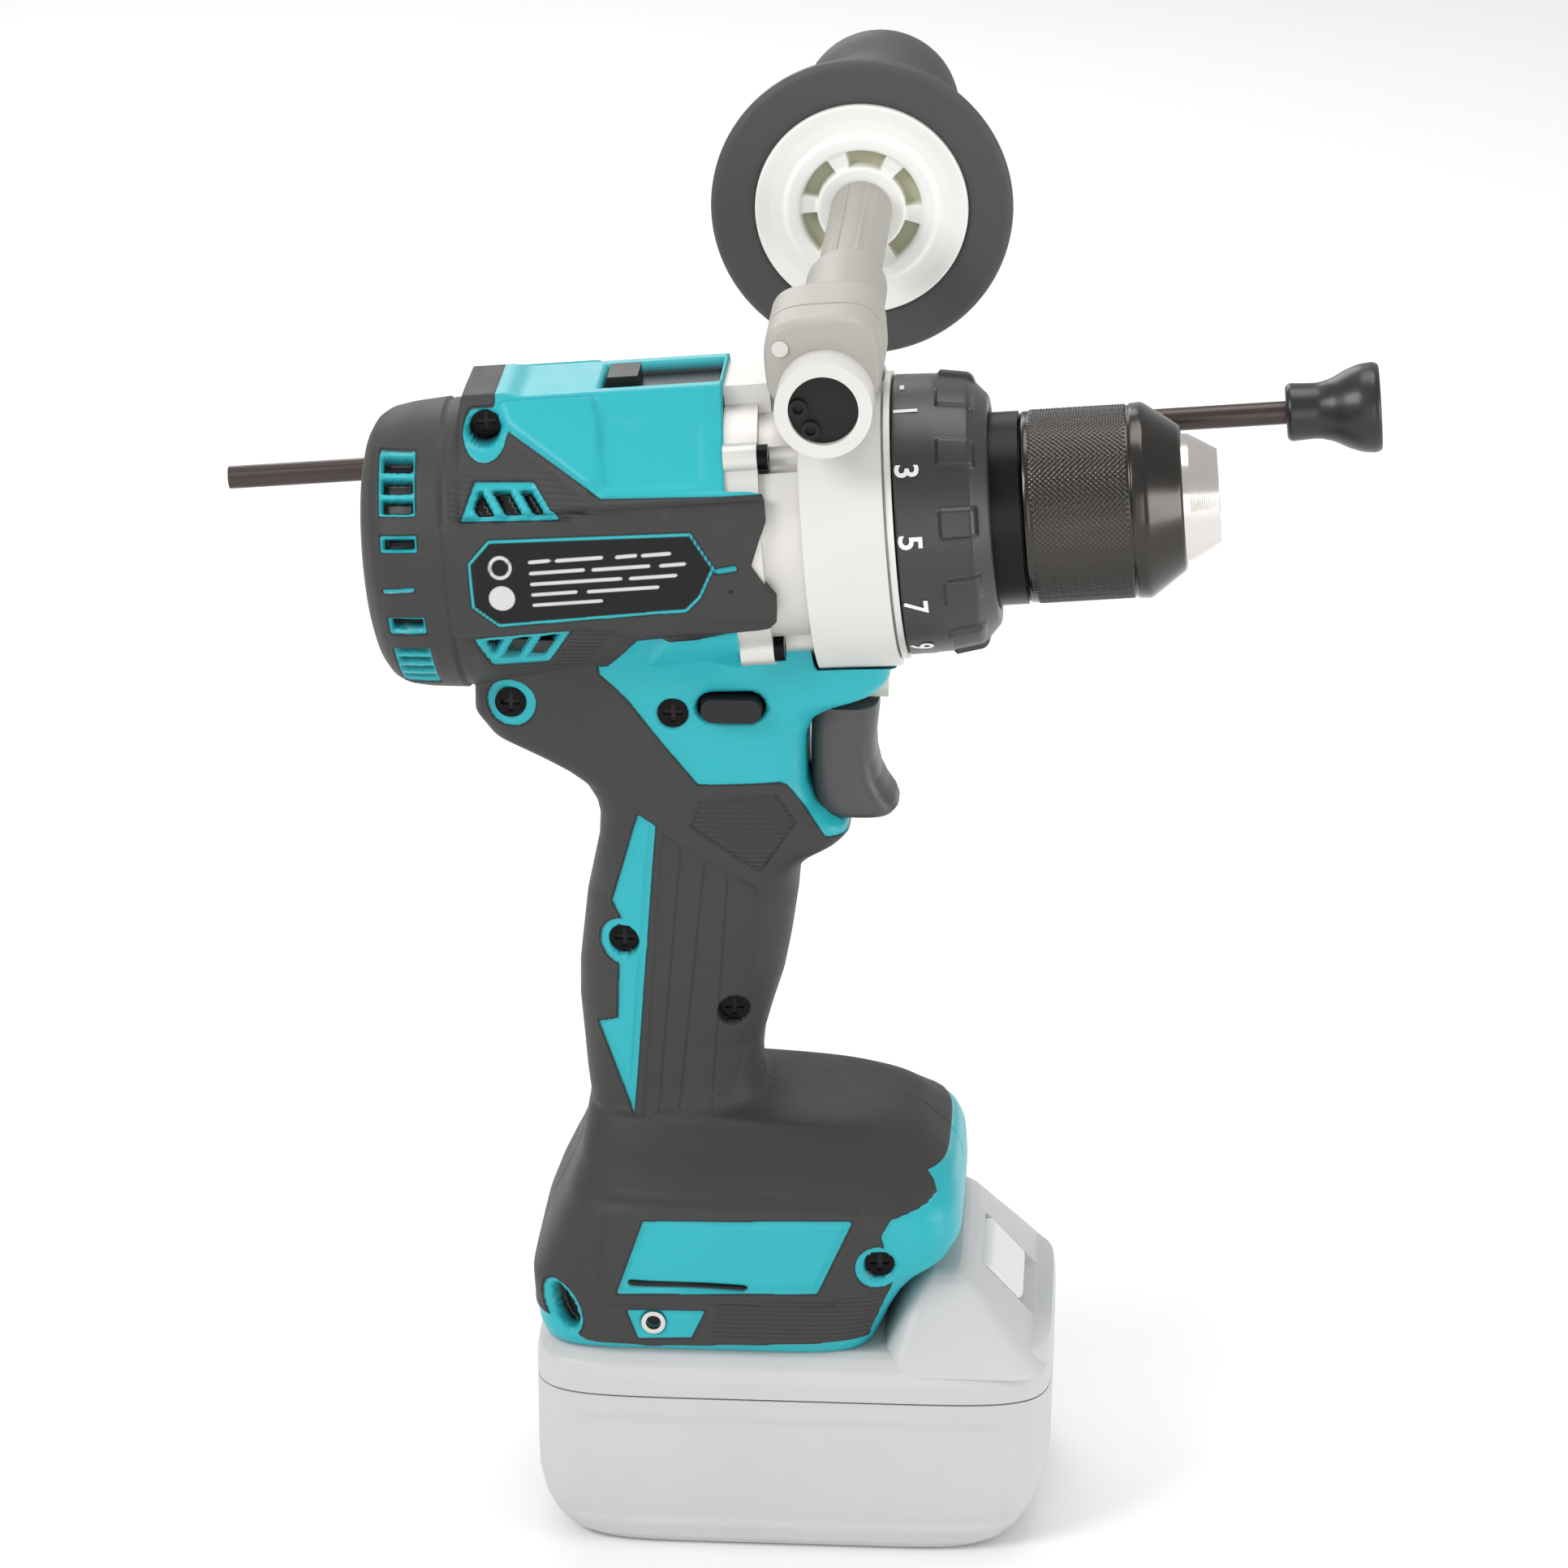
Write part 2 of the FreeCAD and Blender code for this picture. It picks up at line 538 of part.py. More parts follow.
def build_housing():
    """Both halves of the housing, from one hollow shell split on the mid-plane."""
    barrel = rod("barrel_radius", "seam_back - flange_back", "-seam_back", axis="X")
    deck = box("3 - seam_back", "-deck_half", "0", "seam_back - 3 - flange_back", "2 * deck_half", DECK_TOP)
    lug = box("3 - seam_back", f"-{TOP_SCREW[2]}", "0", "12", f"2 * {TOP_SCREW[2]}",
              DECK_TOP)
    corners = [rod("screw_head + 0.1", "13", "-flange_back - 13", f"{a} * {LUG_CIRCLE}",
                   f"{b} * {LUG_CIRCLE}", "X") for a in (-1, 1) for b in (-1, 1)]
    head = tilted(fuse(barrel, deck, lug))
    zone = padded(ZONE, "2 * zone_half", middle=True)
    grip = lofted(shrunk(GRIP, "skin"))
    foot = lofted(FOOT)
    foot.Tip.Ruled = True
    solid = fuse(head, zone, grip, foot)

    bore = tilted(rod(BARREL_IN, "seam_back + 4", "-seam_back - 2", axis="X"))
    sweep = tilted(rod(f"{BAND_OUT} + free_gap", "60", "-flange_back", axis="X"))
    room = shrunk(GRIP, "(wall + skin)")
    room[0] = room[0][:4] + ("foot_top - 14",)
    room[-1] = room[-1][:4] + (f"{HEAD} - 64",)
    grip_room = lofted(room)
    foot_room = lofted(FOOT_ROOM)
    foot_room.Tip.Ruled = True
    switch_room = box("-39", "wall - zone_half", f"{HEAD} - 69", "40", "2 * (zone_half - wall)", "29")
    lead_room = box("-39", "-7", f"{HEAD} - 44", "8", "14", "20")
    wedge = padded([("hump_front - 1.5", "pack_top - 1"), ("foot_front + 4", "pack_top - 1"),
                    ("foot_front + 4", "pack_top + 23")], "2 * foot_half + 8", middle=True)
    rail = box("-rail_back - free_gap", "-rail_half - free_gap", "pack_top + rail_lip",
               "rail_back + foot_front + 9", "2 * (rail_half + free_gap)",
               "rail_top + free_gap - pack_top - rail_lip")
    neck = box("-rail_back - free_gap", "-rail_neck - free_gap", "pack_top - 1", "rail_back + foot_front + 9",
               "2 * (rail_neck + free_gap)", "rail_lip + 2")
    block = box("-42", "-20", "rail_top", "24", "40", "wall + 1")
    slot = box("-8", "-trigger_half - free_gap", f"{HEAD} - 63.9", "18", "2 * (trigger_half + free_gap)",
               "23.5")
    window = box("11.8", "-4.1", f"{HEAD} - 37.7", "12", "8.2", "5.2")
    button = oval("-13.6", f"({HEAD} - 36.4)", "(6.4 + 0.25)", "(2.6 + 0.25)", "zone_half + 6")
    lever = tilted(fuse_loose(
        box("-38.5", "-5.5", f"{DECK_TOP} - 3.2", "24.5", "11", "5"),
        box("-36.5", "-1.9", f"{BARREL_IN} - 3", "lever_travel + 7.5", "3.8", "12")))
    vents = tilted(fuse_loose(*vent_slots("-64", 3, "5", "2.6", "13", "20"),
                              *vent_slots("-64", 3, "5", "2.6", "-20", "-13")))
    insert = rod("2.6", "2 * foot_half", "-29.6", "-foot_half", "pack_top + 7.1", "Y")
    shell = cut(solid, bore, sweep, grip_room, foot_room, switch_room, lead_room, wedge, rail, neck, block,
                slot, window, button, lever, vents, insert)

    posts = [rod("screw_radius + boss_wall", f"2 * ({reach} - 1)", x, f"1 - ({reach})", z, "Y")
             for x, z, reach in GRIP_SCREWS]
    shafts = []
    for x, z, reach in GRIP_SCREWS:
        shafts.append(rod("screw_radius + seat_gap", f"2 * ({reach}) + 6", x, f"-({reach}) - 3", z, "Y"))
        shafts.append(rod("screw_head + seat_gap", "40", x, f"screw_cap + 1.2 - ({reach}) - 40", z, "Y"))
    x, z, reach = TOP_SCREW
    top = tilted(fuse_loose(
        rod("screw_radius + seat_gap", f"2 * {reach} - 4", x, f"-{reach} - 1", z, "Y"),
        rod("screw_head + seat_gap", "6", x, f"screw_cap + 1.2 - {reach} - 6", z, "Y")))
    corner_holes = tilted(fuse_loose(*[rod("screw_radius + seat_gap", "12", "-flange_back - 11",
                                           f"{a} * {LUG_CIRCLE}", f"{b} * {LUG_CIRCLE}", "X")
                                       for a in (-1, 1) for b in (-1, 1)]))
    whole = cut(fuse(shell, *posts, tilted(fuse_loose(*corners))), *shafts, top, corner_holes)

    for label, start in (("housing_right", "-60"), ("housing_left", "0")):
        node(label, common(whole, box("-120", start, "-5", "200", "60", f"{HEAD} + 60")))
    cover_span = f"({HEAD} - 72 - foot_top)"
    grip_out = lofted(GRIP)
    grip_in = lofted(shrunk(GRIP, "skin"))
    cover = cut(grip_out, grip_in, *shafts)
    for label, start in (("grip_cover_right", "-60"), ("grip_cover_left", "0")):
        node(label, common(cover, box("-120", start, "foot_top", "200", "60", cover_span)))

    screws = [screw(x, z, f"{reach} - 1.2", f"2 * ({reach}) - 8") for x, z, reach in GRIP_SCREWS]
    x, z, reach = TOP_SCREW
    screws.append(tilted(screw(x, z, f"{reach} - 1.2", f"2 * {reach} - 8")))
    node("housing_screws", group(*screws))


def build_barrel_trim():
    """Rear cover, side plates, slide plate, work light and the foot's inserts."""
    rear = "(-seam_back - cover_depth)"
    boss = "(bearing_radius + 2.4)"
    cover = turned([(rear, "0"), (rear, "barrel_radius - cover_corner"),
                    (f"{rear} + cover_corner * 0.3", "barrel_radius - cover_corner * 0.3"),
                    (f"{rear} + cover_corner", "barrel_radius"), ("-seam_back", "barrel_radius"),
                    ("-seam_back", BARREL_IN), (f"{rear} + cover_corner", BARREL_IN),
                    (f"{rear} + 2.5", f"{BARREL_IN} - cover_corner + 2"), (f"{rear} + 2.5", boss),
                    (f"{rear} + 2.5 + bearing_width + 1", boss),
                    (f"{rear} + 2.5 + bearing_width + 1", "bearing_radius"),
                    (f"{rear} + 2.5", "bearing_radius"),
                    (f"{rear} + 2.5", "0")])
    slots = []
    for low, high in (("16", "18.2"), ("19.6", "21.8"), ("23.2", "25.2"), ("8.4", "11")):
        for sign in (1, -1):
            start = low if sign > 0 else f"-({high})"
            slots.append(box(f"{rear} + 8", "-barrel_radius - 1", start, "6.5", "2 * barrel_radius + 2",
                             f"{high} - {low}"))
    node("rear_cover", cut(cover, *slots), head=True)

    plate = [("-67.5", "5.5"), ("-64", "8.6"), ("-20", "8.6"), ("-16.5", "5.5"), ("-16.5", "-5.5"),
             ("-20", "-8.6"),
             ("-64", "-8.6"), ("-67.5", "-5.5")]
    skin = cut(rod("barrel_radius + 0.6", "seam_back", "-seam_back", axis="X"),
               rod("barrel_radius", "seam_back", "-seam_back", axis="X"))
    node("side_plates", common(skin, padded(plate, "80", middle=True)), head=True)

    floor = f"{DECK_TOP} - 3.2"
    slide = cut(box("-38.4", "-5.4", floor, "24.3", "10.8", "1"),
                box("-36.5", "-1.9", f"{floor} - 1", "lever_travel + 7.5", "3.8", "3"))
    node("slide_plate", slide, head=True)
    handle = box("-37.4", "-5", f"{floor} + 1.1", "6.4", "10", "3.8")
    stem = box("-36", "-1.5", f"{BARREL_IN} - 0.6", "4", "3", f"{floor} + 2 - ({BARREL_IN} - 0.6)")
    node("speed_lever", fuse(handle, stem), head=True)

    lens = box("12", "-4", f"{HEAD} - 37.6", "6.9", "8", "5")
    node("work_light", lens)
    tubes = []
    for start in ("-foot_half", "foot_half - 8"):
        tubes.append(cut(rod("2.6", "8", "-29.6", start, "pack_top + 7.1", "Y"),
                         rod("1.65", "8", "-29.6", start, "pack_top + 7.1", "Y")))
    node("hook_inserts", group(*tubes))


def build_motor():
    """Stator, rotor, fan, bearings and the position board."""
    front = "(stator_length - stator_rear)"
    core = cut(rod(STATOR, "stator_length", "-stator_rear", axis="X"),
               rod("stator_bore", "stator_length", "-stator_rear", axis="X"))
    slots = [rod("2.6", "stator_length", "-stator_rear", f"19 * {math.cos(math.radians(60 * k)):.4f}",
                 f"19 * {math.sin(math.radians(60 * k)):.4f}", "X") for k in range(6)]
    node("stator_core", cut(core, *slots), head=True)
    rings = []
    for start in ("-stator_rear - coil_reach", front):
        rings.append(cut(rod(f"{STATOR} - 3", "coil_reach", start, axis="X"),
                         rod("stator_bore + 1.5", "coil_reach", start, axis="X")))
    node("stator_coils", group(*rings), head=True)
    board = "(-stator_rear - coil_reach - 2.6)"
    node("position_board", cut(rod(f"{STATOR} - 1", "1.6", board, axis="X"),
                               rod("5", "1.6", board, axis="X")),
         head=True)
    bearings = []
    for start in ("-seam_back - cover_depth + 2.6", "-gear_rear - 8.4"):
        bearings.append(cut(rod("bearing_radius", "bearing_width", start, axis="X"),
                            rod("shaft_radius + running_gap", "bearing_width", start, axis="X")))
    node("motor_bearings", group(*bearings), head=True)

    pinion = gear_blank(12, "-gear_rear - 1", "gear_width + 1", GEAR_TURN)
    shaft = rod("shaft_radius", "cover_depth + seam_back - gear_rear - 3", "3 - seam_back - cover_depth",
                axis="X")
    node("motor_shaft", fuse(shaft, pinion), head=True)
    magnets = cut(rod("stator_bore - air_gap", "stator_length + 2", "-stator_rear - 1", axis="X"),
                  rod("shaft_radius", "stator_length + 2", "-stator_rear - 1", axis="X"))
    node("rotor_core", magnets, head=True)
    disc = rod(f"{BARREL_IN} - 2.4", "1.5", "-fan_rear", axis="X")
    hub = rod("6", "fan_width", "-fan_rear", axis="X")
    blade = box("1 - fan_rear", "-0.6", "5.5", "fan_width - 1", "1.2", f"{BARREL_IN} - 8.5")
    fan = fuse(disc, hub, *[spun(blade, 40 * k) for k in range(9)])
    node("cooling_fan", cut(fan, rod("shaft_radius", "fan_width", "-fan_rear", axis="X")), head=True)


def build_gears():
    """Two planetary stages inside the gear case."""
    half_tooth = 360 / 48 / 2
    rings = [gear_blank(48, f"{start} - 0.4", "gear_width + 0.8", phase, RING_OUT)
             for start, phase in ((FIRST_START, GEAR_TURN), (SECOND_START, GEAR_TURN + half_tooth))]
    node("ring_gears", group(*rings), head=True)
    stages = (("first", 18, 12, FIRST_START), ("second", 15, 18, SECOND_START))
    for name, teeth, sun, start in stages:
        centre = f"gear_module * {(teeth + sun) / 2}"
        for k, letter in enumerate("abc"):
            turn = GEAR_TURN + 120 * k
            phase = turn + 180 + 180 / teeth
            planet = cut(gear_blank(teeth, "0", "gear_width", phase),
                         rod("planet_pin + running_gap", "gear_width", axis="X"))
            carrier = group(planet)
            across, up = math.cos(math.radians(turn)), math.sin(math.radians(turn))
            place(carrier, start, f"{centre} * {across:.6f}", f"{centre} * {up:.6f}")
            node(f"planet_{name}_{letter}", group(carrier), head=True)

    def pins(radius, start, length):
        """Three pins round the axis."""
        return [rod("planet_pin", length, start,
                    f"{radius} * {math.cos(math.radians(GEAR_TURN + 120 * k)):.6f}",
                    f"{radius} * {math.sin(math.radians(GEAR_TURN + 120 * k)):.6f}", "X") for k in range(3)]

    plate = rod("gear_module * 15 + planet_pin + 1.5", "carrier_thick", FIRST_PLATE, axis="X")
    sun = gear_blank(18, f"{FIRST_PLATE} + carrier_thick - 0.5", "gear_width + 1.5", GEAR_TURN)
    node("carrier_first", fuse(plate, sun, *pins("gear_module * 15", FIRST_START, "gear_width + 1")),
         head=True)

    shaft = turned([(SECOND_PLATE, "0"), (SECOND_PLATE, "gear_module * 16.5 + planet_pin + 1.2"),
                    (f"{SECOND_PLATE} + 4", "gear_module * 16.5 + planet_pin + 1.2"),
                    (f"{SECOND_PLATE} + 4", "spindle_radius"), ("torque_front - 1.5", "spindle_radius"),
                    ("torque_front - 1.5", "thread_radius"), ("torque_front + 16", "thread_radius"),
                    ("torque_front + 16", "0")])
    node("spindle", fuse(shaft, *pins("gear_module * 16.5", SECOND_START, "gear_width + 1")), head=True)


def build_gear_case():
    """Aluminium case with its flange, clamp collar and nose, and what it carries."""
    inside = f"({BARREL_IN} - 1.1)"
    tail = "(-gear_rear - 9)"
    bearing = "spindle_bearing"
    case = turned([(tail, "bearing_radius"), (tail, inside), ("-flange_back", inside),
                   ("-flange_back", "barrel_radius"), (FLANGE_FRONT, "barrel_radius"), (FLANGE_FRONT, COLLAR),
                   ("collar_front", COLLAR), ("collar_front", "nose_radius"), ("nose_front", "nose_radius"),
                   ("nose_front", bearing), ("nose_front - spindle_bearing_width", bearing),
                   ("nose_front - spindle_bearing_width", "spindle_radius + 1.2"),
                   (f"{REAR_BEARING} + spindle_bearing_width", "spindle_radius + 1.2"),
                   (f"{REAR_BEARING} + spindle_bearing_width", bearing), (CASE_WALL, bearing),
                   (CASE_WALL, CASE_BORE), ("-gear_rear - 2", CASE_BORE),
                   ("-gear_rear - 2", "shaft_radius + 2.1"),
                   ("bearing_width - gear_rear - 8.4", "shaft_radius + 2.1"),
                   ("bearing_width - gear_rear - 8.4", "bearing_radius")])
    spots = [(a, b) for a in (-1, 1) for b in (-1, 1)]
    ears = [rod("screw_head + 0.1", "flange_thick", "-flange_back", f"{a} * {LUG_CIRCLE}",
                f"{b} * {LUG_CIRCLE}", "X")
            for a, b in spots]
    lump = box("-flange_back", "-deck_half + 1", f"{CASE_BORE} + 0.5", "flange_thick + 2.6",
               "2 * (deck_half - 1)",
               f"{DECK_TOP} - 0.5 - {CASE_BORE} - 0.5")
    gaps = [rod("screw_head + 0.4", "14", "-flange_back - 14", f"{a} * {LUG_CIRCLE}", f"{b} * {LUG_CIRCLE}",
                "X")
            for a, b in spots]
    holes = [rod("screw_radius + seat_gap", "flange_thick + 2", "-flange_back - 1", f"{a} * {LUG_CIRCLE}",
                 f"{b} * {LUG_CIRCLE}", "X") for a, b in spots]
    pockets = [rod("screw_head", "8", FLANGE_FRONT, f"{a} * {LUG_CIRCLE}", f"{b} * {LUG_CIRCLE}", "X")
               for a, b in spots]
    node("gear_case", cut(fuse(case, *ears, lump), *gaps, *holes, *pockets), head=True)

    bolts = []
    for a, b in spots:
        y, z = f"{a} * {LUG_CIRCLE}", f"{b} * {LUG_CIRCLE}"
        cap = rod("screw_head - 0.4", "screw_cap", FLANGE_FRONT, y, z, "X")
        shank = rod("screw_radius", "flange_thick + 9", "-flange_back - 9", y, z, "X")
        wide, deep = "screw_head * 0.3", "1.3"
        slot = "screw_head * 1.1"
        front = f"{FLANGE_FRONT} + screw_cap - 1.2"
        recess = [box(front, f"{y} - ({slot}) / 2", f"{z} - ({wide}) / 2", deep, slot, wide),
                  box(front, f"{y} - ({wide}) / 2", f"{z} - ({slot}) / 2", deep, wide, slot)]
        bolts.append(cut(fuse(cap, shank), *recess))
    node("gear_case_screws", group(*bolts), head=True)

    node("index_ring", turned([("collar_front + 0.05", "nose_radius + seat_gap"),
                               ("collar_front + 0.05", "torque_radius + 0.8"),
                               ("collar_front + index_width", "torque_radius + 0.8"),
                               ("collar_front + index_width", "nose_radius + seat_gap")]), head=True)
    rear = "(collar_front + index_width + 0.25)"
    inner = "(nose_radius + running_gap)"
    room = "(torque_radius - 3.5)"
    node("torque_ring", turned([(rear, inner), (rear, "torque_radius"),
                                ("torque_front - 4", "torque_radius - 1.3"),
                                ("torque_front", "torque_radius - 5.9"),
                                ("torque_front", "chuck_radius + 0.6"),
                                ("torque_front - 3.5", "chuck_radius + 0.6"), ("torque_front - 3.5", room),
                                (f"{rear} + 2.4", room), (f"{rear} + 2.4", inner)]), head=True)
    bearings = []
    for start in (REAR_BEARING, "nose_front - spindle_bearing_width"):
        bearings.append(cut(rod(bearing, "spindle_bearing_width", start, axis="X"),
                            rod("spindle_radius + running_gap", "spindle_bearing_width", start, axis="X")))
    node("spindle_bearings", group(*bearings), head=True)
    spring = group(coil("nose_radius + 3.6", "1.1", "3.1", 3))
    place(spring, f"{rear} + 4.2")
    node("clutch_spring", group(spring), head=True)


def build_chuck():
    """Chuck body, sleeve and three sloping jaws."""
    start = "(torque_front - 1.5)"
    passage = "6.6"
    body = turned([(start, "thread_radius"), (start, "chuck_radius"), ("collar_end", "chuck_radius"),
                   ("collar_end", "core_radius"), ("sleeve_end", "core_radius"),
                   ("cone_end - 0.2", "nose_root"),
                   ("cone_end + 1.4", "nose_root - 0.2"), ("nose_end", "nose_tip"), ("nose_end", passage),
                   ("torque_front + 16.5", passage), ("torque_front + 16.5", "thread_radius")])
    slope = value("jaw_angle")
    centre = "grip_radius"

    def jaw_bar(radius, ahead, length):
        """A round bar along the jaw's sloping axis, which meets the front face above the chuck axis."""
        bar = rod(radius, length, "0", "0", f"-({length}) + {ahead}")
        carrier = group(bar)
        carrier.Placement = FreeCAD.Placement(V(value("nose_end"), 0, value(centre)),
                                              FreeCAD.Rotation(V(0, 1, 0), 90 + slope))
        carrier.setExpression("Placement.Base.x", bound("nose_end"))
        carrier.setExpression("Placement.Base.z", bound(centre))
        carrier.setExpression("Placement.Rotation.Angle", bound("(90 + jaw_angle) * 1 deg"))
        return carrier

    hole = jaw_bar("jaw_radius + running_gap", "4", "jaw_length + 24")
    node("chuck_body", cut(body, *[spun(hole, 120 * k) for k in range(3)]), head=True)
    apex = "(grip_radius - grip_closed + 0.05)"
    wedge = padded([("0", apex), ("36", f"{apex} + 36 * 0.57735"), ("-36", f"{apex} + 36 * 0.57735")],
                   "50", plane="YZ", start="nose_end - 45")
    jaw = cut(common(jaw_bar("jaw_radius", "-0.9", "jaw_length"), wedge),
              rod("grip_radius", "60", "nose_end - 45", axis="X"))
    for k in range(3):
        node(f"chuck_jaw_{k + 1}", group(spun(jaw, 120 * k)), head=True)
    inner = "(core_radius + running_gap)"
    node("chuck_sleeve", turned([("collar_end + 0.3", inner), ("collar_end + 0.3", "chuck_radius"),
                                 ("sleeve_end - 3", "chuck_radius"), ("sleeve_end", "chuck_radius + 0.3"),
                                 ("cone_end", "nose_root + 1.5"), ("cone_end", "nose_root + 0.3"),
                                 ("sleeve_end + 0.1", inner)]), head=True)


def build_side_handle():
    """Clamp band, block with arm, pivot pin, tie bolt, plug, hub, grip, depth rod and its tip."""
    at = ("bolt_ahead", "bolt_height")
    band = turned([("band_rear", BAND_IN), ("band_rear", BAND_OUT), ("band_rear + band_width", BAND_OUT),
                   ("band_rear + band_width", BAND_IN)])
    mouth = box("band_rear - 1", "-9", "10", "band_width + 2", "18", "40")
    boss = rod("boss_radius", "boss_end - 12", at[0], "-boss_end", at[1], "Y")
    guide = box("band_rear", "20", "-3", "band_width", "rod_out - 14", "14")
    inside = rod(BAND_IN, "90", "-20", axis="X")
    bolt_hole = rod("bolt_radius + seat_gap", "60", at[0], "-boss_end - 1", at[1], "Y")
    plug_hole = rod("plug_radius", "9", at[0], "-boss_end", at[1], "Y")
    rod_hole = rod(ROD_HOLE, "band_width + 2", "band_rear - 1", "rod_out", "rod_up", "X")
    node("clamp_band", cut(fuse(cut(band, mouth), boss, guide), inside, bolt_hole, plug_hole, rod_hole),
         head=True)

    low, left, right = f"{COLLAR} - 2", "-2.6", "21"
    outline = [(left, low), (left, "bolt_height + 6.4"), ("-1.6", "bolt_height + 15.4"),
               ("16", "bolt_height + 16.6"), (right, "bolt_height + 9"), (right, low)]
    block = padded(outline, "block_near + block_far", start="-block_far")
    arm = rod("arm_radius", "arm_end - 20", at[0], "20", at[1], "Y")
    neck = rod("neck_radius", "hub_start - 0.3 - arm_end + 1", at[0], "arm_end - 1", at[1], "Y")
    clear = rod(f"{BAND_OUT} + seat_gap", "90", "-20", axis="X")
    beside = rod("boss_radius + free_gap", "block_near + 10", at[0], "-block_near - 21", at[1], "Y")
    through = rod("bolt_radius + seat_gap", "hub_start + 60", at[0], "-50", at[1], "Y")
    pin_spot = ("1", "bolt_height + 10.8")
    pin_hole = rod("1.7", "24", pin_spot[0], "-block_near - 1", pin_spot[1], "Y")
    node("clamp_block", cut(fuse(block, arm, neck), clear, beside, through, pin_hole), head=True)
    node("clamp_pin", rod("1.7", "23.4", pin_spot[0], "-block_near - 0.4", pin_spot[1], "Y"), head=True)

    stem = rod("bolt_radius", "hub_start + 53", at[0], "-28", at[1], "Y")
    cap = rod("plug_radius - 0.4", "4", at[0], "-boss_end + 5", at[1], "Y")
    node("tie_bolt", fuse(stem, cap), head=True)
    disc = rod("plug_radius - 0.05", "3.2", at[0], "-boss_end + 1.6", at[1], "Y")
    bosses = [cut(rod("1.9", "1.8", x, "-boss_end + 0.4", z, "Y"),
                  rod("1.1", "1.8", x, "-boss_end + 0.4", z, "Y"))
              for x, z in (("bolt_ahead - 5.1", "bolt_height + 0.6"),
                           ("bolt_ahead - 2.9", "bolt_height - 4.1"))]
    node("bolt_plug", fuse(disc, *bosses), head=True)

    bore = "(bolt_radius + running_gap)"
    socket = "12"
    disc_front, sleeve_stop = "(hub_start + 3)", "(hub_start + 32)"
    hub = turned([("hub_start", bore), ("hub_start", "hub_radius"), (disc_front, "hub_radius"),
                  (f"{disc_front} + 4", socket), (sleeve_stop, socket), (sleeve_stop, bore)])
    node("handle_hub", group(along_bolt(hub)), head=True)
    flange = "(hub_start + 1.2)"
    grip = turned([(flange, "hub_radius"), (flange, "flange_radius - 1"), (f"{flange} + 1", "flange_radius"),
                   (f"{flange} + 4.5", "flange_radius"), (f"{flange} + 6.5", "flange_radius - 3"),
                   (f"{flange} + 9", "grip_body + 1"), (f"{flange} + 20", "grip_body"),
                   ("grip_end - 26", "grip_body - 0.8"), ("grip_end - 18", "grip_body"),
                   ("grip_end - 11", "grip_knob"), ("grip_end - 4", "grip_knob - 0.4"),
                   ("grip_end", "grip_knob - 5"), ("grip_end", "0"), (f"{sleeve_stop} + 4", "0"),
                   (f"{sleeve_stop} + 4", "bolt_radius + 1"), (sleeve_stop, "bolt_radius + 1"),
                   (sleeve_stop, socket), (f"{disc_front} + 4", socket), (disc_front, "hub_radius")])
    node("handle_grip", group(along_bolt(grip)), head=True)

    bar = rod("rod_radius", "rod_rear + rod_front", "-rod_rear", "rod_out", "rod_up", "X")
    node("depth_rod", bar, head=True)
    root = "(rod_front - 9)"
    tip = turned([(root, "rod_radius"), (root, "tip_root"), (f"{root} + tip_length * 0.3", "tip_root + 0.2"),
                  (f"{root} + tip_length * 0.55", "tip_root + 1"), (f"{root} + tip_length * 0.8", "tip_face"),
                  (f"{root} + tip_length", "tip_face"), (f"{root} + tip_length", "0"), ("rod_front", "0"),
                  ("rod_front", "rod_radius")])
    carrier = group(tip)
    place(carrier, "0", "rod_out", "rod_up")
    node("rod_tip", group(carrier), head=True)


def build_controls():
    """Switch unit, trigger and its spring, direction button, boards, terminal block and leads."""
    middle = f"({HEAD} - 52)"
    unit = box("-34", "-11", f"{HEAD} - 60", "30 - trigger_travel", "22", "17.5")
    node("switch_unit", unit)
    outline = [("-3", f"{HEAD} - 63.2"), ("17.8", f"{HEAD} - 63.6"), ("19.6", f"{HEAD} - 62.6"),
               ("19.9", f"{HEAD} - 60.8"), ("18.5", f"{HEAD} - 57.5"), ("16.7", f"{HEAD} - 53"),
               ("15.8", f"{HEAD} - 47.3"), ("16", f"{HEAD} - 41.2"), ("-3", f"{HEAD} - 41.2")]
    finger = padded(outline, "2 * trigger_half", middle=True)
    node("trigger", cut(finger, rod("3.8", "9", "-3.5", "0", middle, "X")))
    spring = coil("2.4", "0.45", "1.7", 4)
    carrier = group(spring)
    place(carrier, "-10.4", "0", middle)
    node("trigger_spring", group(carrier))
    node("direction_button", oval("-13.6", f"({HEAD} - 36.4)", "6.4", "2.6",
                                  "zone_half + button_travel - 0.8"))

    blades = [box("-40", f"{y} - 0.4", "rail_top - 8", "20", "0.8", "9") for y in ("-12", "0", "12")]
    node("terminal_block", fuse(box("-41.8", "-19.8", "rail_top + free_gap", "23.6", "39.6", "5.5"), *blades))
    node("control_board", box("-14", "-22", "rail_top + wall + 1.5", "28", "44", "1.6"))
    leads = [rod("1.3", f"{HEAD} - 60 - rail_top - free_gap - 5.5", "-25", y, "rail_top + free_gap + 5.5")
             for y in ("-5", "5")]
    leads += [rod("1", "15.5", "-33", y, f"{HEAD} - 42.5") for y in ("-4", "0", "4")]
    node("inner_leads", group(*leads))


